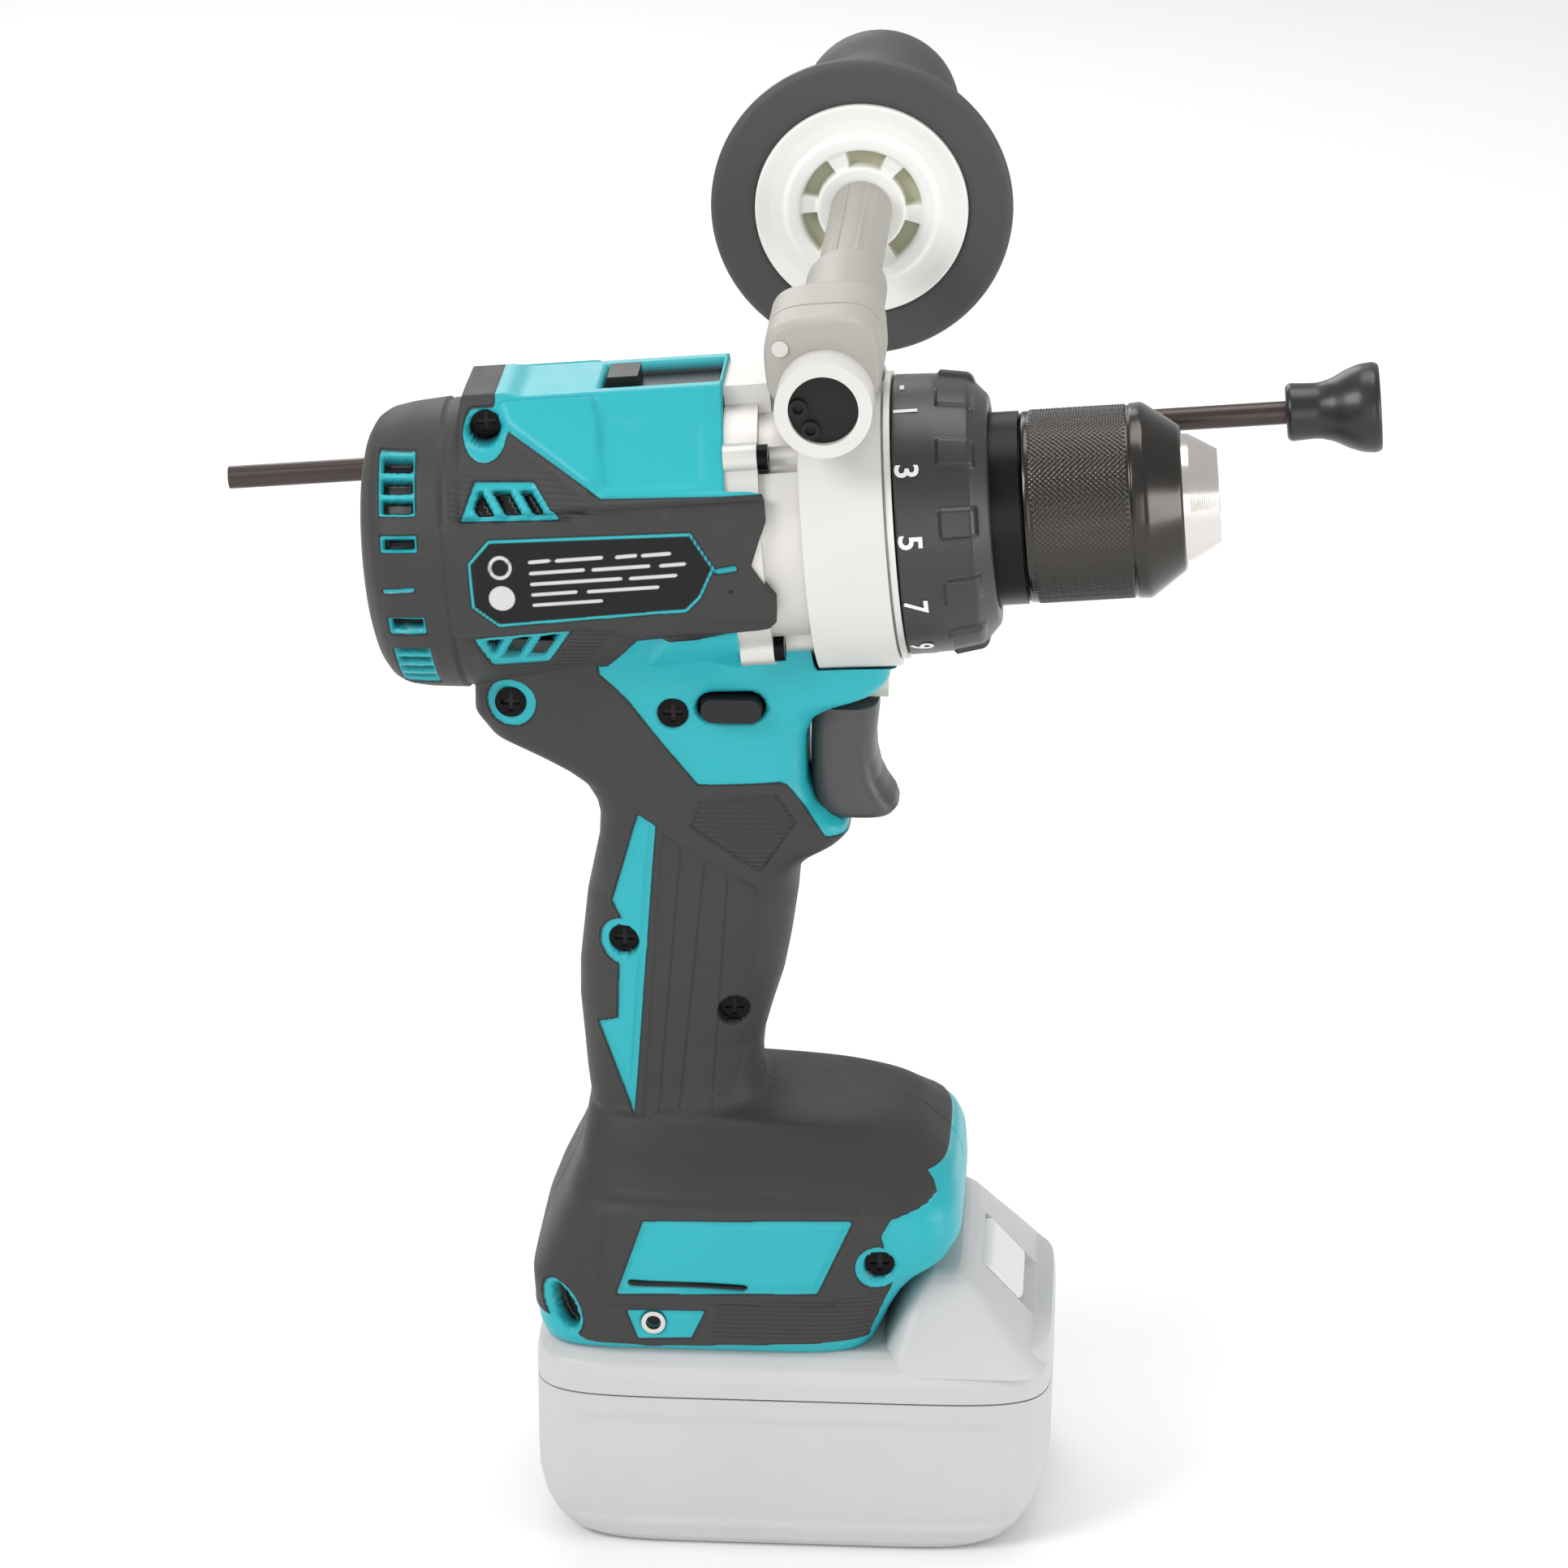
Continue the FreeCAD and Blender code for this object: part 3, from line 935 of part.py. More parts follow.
def build_pack():
    """Slide-on battery pack: case, lid, catch, cells, board with its terminals, and screws."""
    half_long, half_wide = "(pack_length / 2)", "(pack_width / 2)"

    def outline(inset, height):
        """A level section of the pack, moved inwards."""
        return (f"({inset}) - {half_long}", f"{half_long} - ({inset})", f"{half_wide} - ({inset})",
                f"pack_corner - ({inset}) * 0.5", height)

    tub = lofted([outline("2.5", "0"), outline("0.6", "3"), outline("0", "8"), outline("0", "pack_seam")])
    tub.Tip.Ruled = True
    room = lofted([outline("pack_wall", "pack_wall + 6"), outline("pack_wall", "pack_seam + 1")])
    floor = lofted([outline("pack_wall + 2", "pack_wall"), outline("pack_wall", "pack_wall + 6.1")])
    spots = [(a, b) for a in (-1, 1) for b in (-1, 1)]

    def posts(start, length, radius):
        """Four upright bars near the pack's corners."""
        return [rod(radius, length, f"{a} * ({half_long} - 6)", f"{b} * ({half_wide} - 6)", start)
                for a, b in spots]

    low = fuse(cut(tub, room, floor), *posts("0.5", "pack_seam - 0.5", "2.7"))
    node("pack_case", cut(low, *posts("-1", "pack_seam + 2", "1.5"), *posts("-1", "3.2", "2.3")))

    cap = lofted([outline("0", "pack_seam"), outline("0", "pack_seam + 4.5"),
                  outline("3.2", "pack_top - 0.2")])
    cap.Tip.Ruled = True
    hump = padded([("hump_front", "pack_top - 2"), ("hump_front", "pack_top - 1"),
                   ("foot_front + 0.8", "pack_top + 18.6"), ("foot_front + 0.8", "hump_top"),
                   (f"{half_long} - 1.5", "pack_top + 4"), (f"{half_long} - 1.5", "pack_top - 2")],
                  "pack_width - 11", middle=True)
    rail = box("-rail_back", "-rail_half", "pack_top + rail_lip + free_gap", "rail_back + hump_front + 8",
               "2 * rail_half", "rail_top - free_gap - pack_top - rail_lip - free_gap")
    neck = box("-rail_back", "-rail_neck", "pack_top - 2", "rail_back + hump_front + 8", "2 * rail_neck",
               "rail_lip + 4")
    ceiling = lofted([outline("pack_wall", "pack_seam - 1"), outline("pack_wall", "pack_seam + 3"),
                      outline("pack_wall + 3.2", "pack_top - 2.4")])
    ceiling.Tip.Ruled = True
    slots = [box("-rail_back - 1", f"{y} - 2.4", "pack_top - 4", "25", "4.8", "20") for y in ("-12", "0",
                                                                                              "12")]
    recess = box("41", "-13", "pack_top + 3", "30", "26", "30")
    lid = fuse(cut(fuse(cap, rail, neck, hump), ceiling), *posts("pack_seam", "6", "2.7"))
    node("pack_lid", cut(lid, *slots, recess, *posts("pack_seam - 1", "6", "1.5")))

    catch = padded([("41.6", "pack_top + 6.8"), ("41.6", "pack_top + 18.6"), ("51.8", "pack_top + 7.6"),
                    ("51.8", "pack_top + 6.8")], "24.6", middle=True)
    node("pack_catch", catch)
    cells = [rod("cell_radius", "cell_length", f"{k - 2} * cell_pitch", "-cell_length / 2",
                 f"pack_wall + 0.2 + cell_radius + {row} * cell_pitch",
                 "Y") for row in (0, 1) for k in range(5)]
    node("pack_cells", group(*cells))
    above_cells = "pack_wall + 0.4 + 2 * cell_radius + cell_pitch"
    leaves = [box("-38", f"{y} {offset}", above_cells, "15", "0.8", "16.2")
              for y in ("-12", "0", "12") for offset in ("+ 0.55", "- 1.35")]
    node("cell_board", fuse(box("-44", "-28", above_cells, "88", "56", "1.2"), *leaves))
    bolts = []
    for head, shank in zip(posts("0.4", "1.8", "2.2"), posts("2.2", "pack_seam + 2", "1.4")):
        bolts.append(fuse(head, shank))
    node("pack_screws", group(*bolts))


build_housing()
build_barrel_trim()
build_motor()
build_gear_case()
build_gears()
build_chuck()
build_side_handle()
build_controls()
build_pack()
doc.recompute()

# ---------------------------------------------------------------- checks and export
for obj in doc.Objects:
    for state in ("Invalid", "Error"):
        if state in obj.State:
            raise RuntimeError(f"{obj.Name} ({obj.Label}) is {state}")
for part in nodes:
    shape = part.Shape
    if shape.isNull() or not shape.isValid() or not shape.Solids:
        raise RuntimeError(f"{part.Label} has no valid solid")
for part in nodes:
    part.Shape.exportStep(os.path.join("parts", part.Label + ".step"))
    print(f"{part.Label}: {len(part.Shape.Solids)} solid(s), {part.Shape.Volume:.0f} mm3")
print(len(nodes), "nodes")
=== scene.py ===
"""Looks of a cordless drill with a side handle, a depth rod and a slide-on battery pack.

Every shape is worked out in millimetres and laid into the mesh in metres.  Parts of the head are given as
(ahead, left, up) along the chuck's tilted axis; parts of the handle, foot and pack in upright x, y, z.
"""
import json
import math

import bmesh
import bpy
import numpy as np
from bpy.props import FloatProperty, FloatVectorProperty, IntProperty, PointerProperty
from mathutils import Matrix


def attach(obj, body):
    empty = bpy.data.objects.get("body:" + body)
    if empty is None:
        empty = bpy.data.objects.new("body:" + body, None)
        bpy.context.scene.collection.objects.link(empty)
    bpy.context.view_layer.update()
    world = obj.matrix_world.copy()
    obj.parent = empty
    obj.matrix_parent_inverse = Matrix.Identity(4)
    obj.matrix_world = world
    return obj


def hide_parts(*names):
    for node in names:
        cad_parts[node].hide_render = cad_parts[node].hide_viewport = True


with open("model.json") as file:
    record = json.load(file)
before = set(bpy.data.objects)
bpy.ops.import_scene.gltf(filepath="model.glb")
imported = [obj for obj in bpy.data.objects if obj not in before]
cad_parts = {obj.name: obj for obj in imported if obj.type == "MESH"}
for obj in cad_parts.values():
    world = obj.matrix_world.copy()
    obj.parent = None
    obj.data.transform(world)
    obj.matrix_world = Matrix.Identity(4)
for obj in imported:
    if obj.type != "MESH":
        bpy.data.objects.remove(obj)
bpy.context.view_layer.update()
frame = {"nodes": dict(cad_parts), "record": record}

bl_info = {
    "name": "Cordless Drill",
    "version": (1, 0, 0),
    "blender": (4, 5, 0),
    "location": "View3D > Sidebar > Drill",
    "description": "Builds the visible pieces and finishes of a cordless drill on its CAD frame",
    "category": "Object",
}

SPIN = next(joint for joint in frame["record"]["behaviour"]["joints"] if joint["name"] == "chuck_spin")
HEAD = np.array(SPIN["pos_m"]) * 1000
AHEAD = np.array(SPIN["axis"])
LEFT = np.array([0.0, 1.0, 0.0])
UP = np.cross(AHEAD, LEFT)
TAU = 2 * math.pi
WELD = 1e-6  # points nearer than this, in metres, are one point


# ---------------------------------------------------------------- sizes and colours a user would change
class DrillSizes(bpy.types.PropertyGroup):
    """Sizes of the detail that the frame leaves open."""

    panel_step: FloatProperty(name="Panel step", description="How deep the hard panels sit below the soft grip",
                              default=0.55, min=0.0, max=2.0, unit="NONE")
    knurl_pitch: FloatProperty(name="Knurl pitch", description="Spacing of the diamonds on the chuck sleeve, mm",
                               default=1.15, min=0.6, max=3.0)
    knurl_depth: FloatProperty(name="Knurl depth", description="Height of the diamonds on the chuck sleeve, mm",
                               default=0.36, min=0.0, max=0.6)
    numeral_height: FloatProperty(name="Numeral height", description="Height of the torque numbers, mm",
                                  default=6.0, min=2.0, max=9.0)
    hub_windows: IntProperty(name="Hub windows", description="Windows round the side handle's hub",
                             default=6, min=3, max=12)


def colour_setting(name, description, *colour):
    """A colour that a user may change."""
    return FloatVectorProperty(name=name, description=description, subtype="COLOR", size=3, default=colour,
                               min=0, max=1)


class DrillColours(bpy.types.PropertyGroup):
    """Base colours of the finishes, as linear RGB."""

    shell: colour_setting("Hard shell", "Teal moulded nylon", 0.020, 0.365, 0.415)
    grip: colour_setting("Soft grip", "Dark grey elastomer", 0.036, 0.0355, 0.035)
    cast: colour_setting("Cast metal", "Tumbled aluminium casting", 0.62, 0.605, 0.57)
    band: colour_setting("Clamp band", "Pale painted band", 0.62, 0.615, 0.585)
    block: colour_setting("Clamp block", "Warm grey moulded block", 0.37, 0.35, 0.315)
    pack: colour_setting("Battery pack", "Pale grey moulded pack", 0.50, 0.50, 0.50)


# ---------------------------------------------------------------- mesh making
def on_head(ahead, left, up):
    """Points of the head's own frame in world millimetres: origin + ahead * axis + left * Y + up * normal."""
    ahead, left, up = np.broadcast_arrays(ahead, left, up)
    return HEAD + ahead[..., None] * AHEAD + left[..., None] * LEFT + up[..., None] * UP


def upright(x, y, z):
    """World points in millimetres."""
    return np.stack(np.broadcast_arrays(x, y, z), -1)


def ease(value):
    """Smooth step from 0 to 1: 3t squared minus 2t cubed."""
    t = np.clip(value, 0, 1)
    return t * t * (3 - 2 * t)


def within(distance, soft=0.5):
    """1 where a signed distance is inside, 0 outside, easing over a soft edge."""
    return ease(0.5 - distance / soft)


def grid_faces(rows, cols, ring):
    """Quads of a rows x cols grid of points, with the last column joined to the first on a ring."""
    i, j = np.meshgrid(np.arange(rows - 1), np.arange(cols if ring else cols - 1), indexing="ij")
    after = (j + 1) % cols
    return np.stack([i * cols + j, (i + 1) * cols + j, (i + 1) * cols + after, i * cols + after], -1).reshape(-1, 4)


def make_piece(name, points, ring=True, closed=True, fields=None):
    """A mesh object out of a grid of points in mm, whose rows are rings or open lines.

    Points are divided by 1000 into metres, doubles are merged, which closes seams and poles, and a closed
    shell gets its faces turned outwards.  Fields are per-point numbers kept as attributes."""
    faces = grid_faces(*points.shape[:2], ring)
    points = points.reshape(-1, 3) * 0.001
    mesh = bpy.data.meshes.new(name)
    mesh.vertices.add(len(points))
    mesh.vertices.foreach_set("co", points.astype(np.float32).ravel())
    mesh.loops.add(faces.size)
    mesh.loops.foreach_set("vertex_index", faces.astype(np.int32).ravel())
    mesh.polygons.add(len(faces))
    mesh.polygons.foreach_set("loop_start", np.arange(0, faces.size, 4, dtype=np.int32))
    mesh.update(calc_edges=True)
    for label, values in (fields or {}).items():
        mesh.attributes.new(label, "FLOAT", "POINT").data.foreach_set("value", np.ravel(values).astype(np.float32))
    mesh.validate()
    work = bmesh.new()
    work.from_mesh(mesh)
    bmesh.ops.remove_doubles(work, verts=work.verts, dist=WELD)
    bmesh.ops.dissolve_degenerate(work, edges=work.edges, dist=WELD)
    if closed:
        bmesh.ops.recalc_face_normals(work, faces=work.faces)
    for face in work.faces:
        face.smooth = True
    work.to_mesh(mesh)
    work.free()
    obj = bpy.data.objects.new(name, mesh)
    bpy.context.scene.collection.objects.link(obj)
    return obj


def face_outwards(obj, centre):
    """Turn an open sheet so that its faces look away from a point in mm."""
    mesh = obj.data
    count = len(mesh.polygons)
    middles, normals = np.empty(count * 3), np.empty(count * 3)
    mesh.polygons.foreach_get("center", middles)
    mesh.polygons.foreach_get("normal", normals)
    away = middles.reshape(-1, 3) - np.array(centre) * 0.001
    if (away * normals.reshape(-1, 3)).sum() < 0:
        mesh.flip_normals()
    return obj


def sharpen(obj, degrees):
    """Keep edges steeper than an angle crisp, smooth the rest."""
    obj.data.set_sharp_from_angle(angle=math.radians(degrees))
    return obj


def turn_of(count):
    """Even angles round one turn."""
    return np.arange(count) * TAU / count


def carried(profile, count):
    """A profile of (along, radius) pairs as two grids: a row for each pair, a column for each angle."""
    p = np.asarray(profile, float)
    return np.repeat(p[:, :1], count, 1), np.repeat(p[:, 1:], count, 1)


def squareness(angle, power):
    """Reach along each angle of the curve |x|^p + |y|^p = 1: a circle at 2, nearer a square as p grows."""
    return (np.abs(np.cos(angle)) ** power + np.abs(np.sin(angle)) ** power) ** (-1 / power)


def capped(points, first, last):
    """A grid of rings closed at both ends, each by a row that is one point."""
    return np.concatenate([np.broadcast_to(first, points[:1].shape), points, np.broadcast_to(last, points[:1].shape)])


def rounded(profile, radius, steps=4):
    """A profile whose inner corners are replaced by short arcs, each a quadratic curve through the corner."""
    p = [np.asarray(q, float) for q in profile]
    out = [p[0]]
    for before, corner, after in zip(p, p[1:], p[2:]):
        a, b = before - corner, after - corner
        reach = min(radius, np.linalg.norm(a) * 0.45, np.linalg.norm(b) * 0.45)
        one, two = corner + a / np.linalg.norm(a) * reach, corner + b / np.linalg.norm(b) * reach
        for t in np.linspace(0, 1, steps):
            out.append((1 - t) ** 2 * one + 2 * t * (1 - t) * corner + t * t * two)
    out.append(p[-1])
    return np.array(out)


def densify(profile, step):
    """The same profile with points no further apart than a step."""
    p = np.asarray(profile, float)
    out = [p[:1]]
    for a, b in zip(p[:-1], p[1:]):
        count = max(1, int(np.ceil(np.linalg.norm(b - a) / step)))
        out.append(a + (b - a) * (np.arange(1, count + 1) / count)[:, None])
    return np.concatenate(out)


# ---------------------------------------------------------------- outlines as signed distances, negative inside
def from_line(x, z, a, b):
    """Distance to the straight line from a to b."""
    ex, ez, px, pz = b[0] - a[0], b[1] - a[1], x - a[0], z - a[1]
    t = np.clip((px * ex + pz * ez) / (ex * ex + ez * ez), 0, 1)
    return np.hypot(px - ex * t, pz - ez * t)


def polygon(x, z, corners):
    """Signed distance to a polygon: nearest edge distance, negative where the crossing count is odd."""
    corners = np.asarray(corners, float)
    edges = list(zip(corners, np.roll(corners, -1, 0)))
    best = np.minimum.reduce([from_line(x, z, a, b) for a, b in edges])
    odd = np.zeros(np.shape(x), bool)
    for (ax, az), (bx, bz) in edges:
        odd ^= ((az > z) != (bz > z)) & (x - ax < (bx - ax) * (z - az) / ((bz - az) or 1e-9))
    return np.where(odd, -best, best)


def stroke(x, z, points, half):
    """Signed distance to a line through points, of a given half width."""
    points = np.asarray(points, float)
    return np.minimum.reduce([from_line(x, z, a, b) for a, b in zip(points[:-1], points[1:])]) - half


def disc(x, z, centre, radius, stretch=1.0, lean=0.0):
    """Signed distance to a circle, or an ellipse taller than wide and leaning."""
    dx, dz = x - centre[0], z - centre[1]
    c, s = math.cos(lean), math.sin(lean)
    return np.hypot(dx * c + dz * s, (dz * c - dx * s) / stretch) - radius


def either(*distances):
    """Union of outlines."""
    return np.minimum.reduce(distances)


def outside(distance, hole):
    """An outline with another taken out of it."""
    return np.maximum(distance, -hole)


# ---------------------------------------------------------------- finishes
def socket(value):
    """A node's first output, or the value itself."""
    return value.outputs[0] if isinstance(value, bpy.types.Node) else value


def add(tree, kind, inputs=None, **settings):
    """Add a shader node, set its properties, and link or set its inputs."""
    node = tree.nodes.new(kind)
    for key, value in settings.items():
        setattr(node, key, value)
    for key, value in (inputs or {}).items():
        value = socket(value)
        if isinstance(value, bpy.types.NodeSocket):
            tree.links.new(value, node.inputs[key])
        else:
            node.inputs[key].default_value = value
    return node


def maths(tree, operation, a, b=0.0):
    """One arithmetic step."""
    return add(tree, "ShaderNodeMath", {0: a, 1: b}, operation=operation)


def blend_colour(tree, factor, a, b):
    """Colour a where the factor is 0 and b where it is 1."""
    return add(tree, "ShaderNodeMix", {0: factor, 6: a, 7: b}, data_type="RGBA").outputs[2]


def rgba(colour, gain=1.0):
    """Four numbers for a colour socket."""
    return (*[min(1.0, c * gain) for c in colour[:3]], 1.0)


def new_finish(name, **sockets):
    """A material with a principled shader, its even values set on the shader's own sockets."""
    material = bpy.data.materials.new(name)
    material.use_nodes = True
    tree = material.node_tree
    shader = tree.nodes["Principled BSDF"]
    for key, value in sockets.items():
        shader.inputs[key.replace("_", " ")].default_value = value
    place = add(tree, "ShaderNodeTexCoord").outputs["Object"]
    return material, tree, shader, place


def speckle(tree, place, scale, detail=3.0, rough=0.55):
    """Fractal noise on the object's own coordinates."""
    return add(tree, "ShaderNodeTexNoise", {"Vector": place, "Scale": scale, "Detail": detail, "Roughness": rough})


def spread(tree, value, low, high):
    """Map 0..1 to low..high."""
    return add(tree, "ShaderNodeMapRange", {0: value, 3: low, 4: high})


def drifting(tree, noise, colour, low, high):
    """A colour that drifts between two gains of itself with a noise."""
    return blend_colour(tree, noise, rgba(colour, low), rgba(colour, high))


def join(tree, shader, colour, gloss, height, strength, distance):
    """Link a colour, a roughness and a bump made from a height to the shader."""
    bump = add(tree, "ShaderNodeBump", {"Height": height, "Strength": strength, "Distance": distance})
    for value, name in ((colour, "Base Color"), (gloss, "Roughness"), (bump, "Normal")):
        tree.links.new(socket(value), shader.inputs[name])


def moulded(name, colour, rough=(0.38, 0.5), grain=2600.0, depth=0.00003, drift=0.06, **sockets):
    """Moulded plastic or rubber: spark-eroded grain, slow colour drift and uneven gloss."""
    material, tree, shader, place = new_finish(name, **sockets)
    tone = drifting(tree, speckle(tree, place, 28.0), colour, 1 - drift, 1 + drift)
    gloss = spread(tree, speckle(tree, place, 160.0), *rough)
    join(tree, shader, tone, gloss, speckle(tree, place, grain, 2.0), 0.45, depth)
    return material


def turned_bands(tree, place, scale, **spread_by):
    """Fine rings round the chuck's tilted axis."""
    turned = add(tree, "ShaderNodeMapping", {"Vector": place, "Rotation": (0.0, math.asin(AHEAD[2]), 0.0)})
    return add(tree, "ShaderNodeTexWave", {"Vector": turned, "Scale": scale, **spread_by}, bands_direction="X")


def machined(name, colour, rough=(0.2, 0.34), rings=900.0, depth=0.00001, metallic=1.0, drift=0.12, **sockets):
    """Turned metal: fine rings along the chuck axis, faint streaks and uneven gloss."""
    material, tree, shader, place = new_finish(name, Metallic=metallic, **sockets)
    bands = turned_bands(tree, place, rings, Distortion=1.5, Detail=1.0)
    tone = drifting(tree, speckle(tree, place, 60.0), colour, 1 - drift, 1 + drift)
    join(tree, shader, tone, spread(tree, speckle(tree, place, 300.0), *rough), bands, 0.25, depth)
    return material


def cast_metal(name, colour, rough=(0.34, 0.5), **sockets):
    """Tumbled die casting: pebbled surface with soft sheen."""
    material, tree, shader, place = new_finish(name, Metallic=0.55, **sockets)
    pebble = add(tree, "ShaderNodeTexVoronoi", {"Vector": place, "Scale": 1500.0})
    tone = drifting(tree, speckle(tree, place, 40.0), colour, 0.93, 1.05)
    join(tree, shader, tone, spread(tree, speckle(tree, place, 220.0), *rough), pebble, 0.3, 0.00003)
    return material


def field(tree, name):
    """A per-point number of the piece."""
    return add(tree, "ShaderNodeAttribute", attribute_name=name).outputs["Fac"]


def mask(tree, distance, soft=0.12):
    """1 where a signed distance in millimetres is negative, with a hair-thin soft edge."""
    return add(tree, "ShaderNodeMapRange", {0: distance, 1: -soft, 2: soft, 3: 1.0, 4: 0.0}).outputs[0]


def housing_finish(colours):
    """Hard shell and soft grip on one skin: fields say where each is, and where ribs and openings are; the openings
    and the seam between shell and grip get painted shade.
    """
    material, tree, shader, place = new_finish("HousingSkin", Specular_IOR_Level=0.3)
    hard, shade_and_black = mask(tree, field(tree, "hard")), mask(tree, field(tree, "shade_and_black"), 0.2)
    slow = speckle(tree, place, 24.0)
    shell, grip = drifting(tree, slow, colours.shell, 0.95, 1.05), drifting(tree, slow, colours.grip, 0.9, 1.12)
    colour = blend_colour(tree, hard, grip, shell)
    # Painted shade: a thin near-black line along the seam between the hard shell and the soft grip, standing in for
    # the shadow in the seam.
    edge = maths(tree, "ABSOLUTE", maths(tree, "ADD", field(tree, "hard"), -0.1))
    seam_shade = add(tree, "ShaderNodeMapRange", {0: edge, 1: 0.05, 2: 0.3, 3: 0.8, 4: 0.0}).outputs[0]
    colour = blend_colour(tree, seam_shade, colour, (0.006, 0.008, 0.008, 1.0))
    # Painted shade: openings such as vents, slots, screw wells and holes are coloured near-black as if in shadow; the
    # label's black film shares this field as its own colour.
    colour = blend_colour(tree, shade_and_black, colour, (0.002, 0.002, 0.002, 1.0))
    colour = blend_colour(tree, mask(tree, field(tree, "marks")), colour, (0.55, 0.55, 0.54, 1.0))
    uneven = speckle(tree, place, 170.0)
    soft_gloss, hard_gloss = spread(tree, uneven, 0.46, 0.62), spread(tree, uneven, 0.30, 0.42)
    gloss = add(tree, "ShaderNodeMix", {0: hard, 2: soft_gloss, 3: hard_gloss})
    ribs = add(tree, "ShaderNodeTexWave", {"Vector": place, "Scale": 290.0}, bands_direction="Z")
    ribbed = maths(tree, "MULTIPLY", ribs, mask(tree, field(tree, "ribs"), 0.3))
    grain = maths(tree, "MULTIPLY", speckle(tree, place, 2400.0, 2.0),
                  add(tree, "ShaderNodeMapRange", {0: hard, 3: 0.16, 4: 0.05}))
    height = maths(tree, "ADD", maths(tree, "MULTIPLY", ribbed, 1.6), grain)
    join(tree, shader, colour, gloss, height, 0.7, 0.00022)
    return material


# ---------------------------------------------------------------- lower housing: zone, handle and foot
# Rows of (height, size) in mm: where the sections end behind and ahead, their half width and their squareness.
BACK = [(47, -55.5), (50, -56.6), (60.5, -57.3), (67.9, -54.5), (76.5, -50.4), (84.3, -47.3), (95.6, -45.5),
        (101.4, -46.3), (117.8, -47.7), (125.9, -47.6), (141.9, -45.8), (155.7, -42.9), (161.6, -42.6),
        (165.3, -43.4), (169.2, -45.7), (172.2, -50), (175.2, -55.9), (179.4, -65), (184.4, -69), (206, -69)]
FRONT = [(47, 19), (55, 22.5), (59.5, 25.2), (63, 28.5), (67, 34.5), (71.4, 37), (79, 36.6), (84.1, 35.3),
         (86.8, 32.9), (91.8, 27.2), (94.2, 21.7), (94.9, 12), (95.3, -2), (95.9, -6.9), (99, -7.9), (103.7, -8.1),
         (109.7, -7.5), (116.3, -5.7), (124.4, -3.2), (132.4, -1.7), (141.5, -0.4), (147.8, 0.1), (151, 1.2),
         (153.5, 4), (155.1, 7.2), (157.6, 10.4), (159.8, 11.4), (161.2, 10.8), (162.6, 8.2), (165.5, 4.4),
         (170, 2.6), (176, 2.4), (181, 2.6), (185, 4.5), (187.5, 9.5), (189.2, 15.5), (190.4, 17.6), (193, 19.9),
         (198, 20.3), (206, 20.3)]
HALF = [(47, 34.6), (49.5, 36), (78.5, 36), (80.5, 35.2), (86, 29.6), (90, 24.9), (94, 20.6), (97, 18.2),
        (101, 17.3), (110, 17.1), (125, 17.6), (150, 17.6), (157, 17.2), (160, 16.8), (175, 16.5), (190, 16.6),
        (206, 17.2)]
SQUARE = [(47, 6), (74, 6), (82, 4.6), (90, 3.6), (97, 3.0), (110, 2.8), (145, 3.0), (158, 4.2), (170, 5), (206, 5)]


def along(table, z):
    """A size read from a table of (height, size), straight between its rows."""
    heights, sizes = np.array(table, float).T
    return np.interp(z, heights, sizes)


FOOT_BASE, BARREL_JOIN, LID_DIP = 47, 206, 9.5
COLLAR_ROOM = 32.3  # radius kept free for the clamp's collar
PALM_LINES = [(-24.6, -29.5), (-19.5, -25), (-14.5, -18)]
STRAP_HOLE, INSERT = (-49.5, 56.2), (-29.6, 54.1)
ROD = (41.0, 4.5)
# Screw wells: x, z, and how far from the middle plane their floor lies.
WELLS = [(-60.5, 188.5, 14.6), (-26.1, 186.9, 14.6), (-37.0, 134.8, 13.2), (-13.5, 118.8, 11.7), (19.1, 68.5, 32.0)]


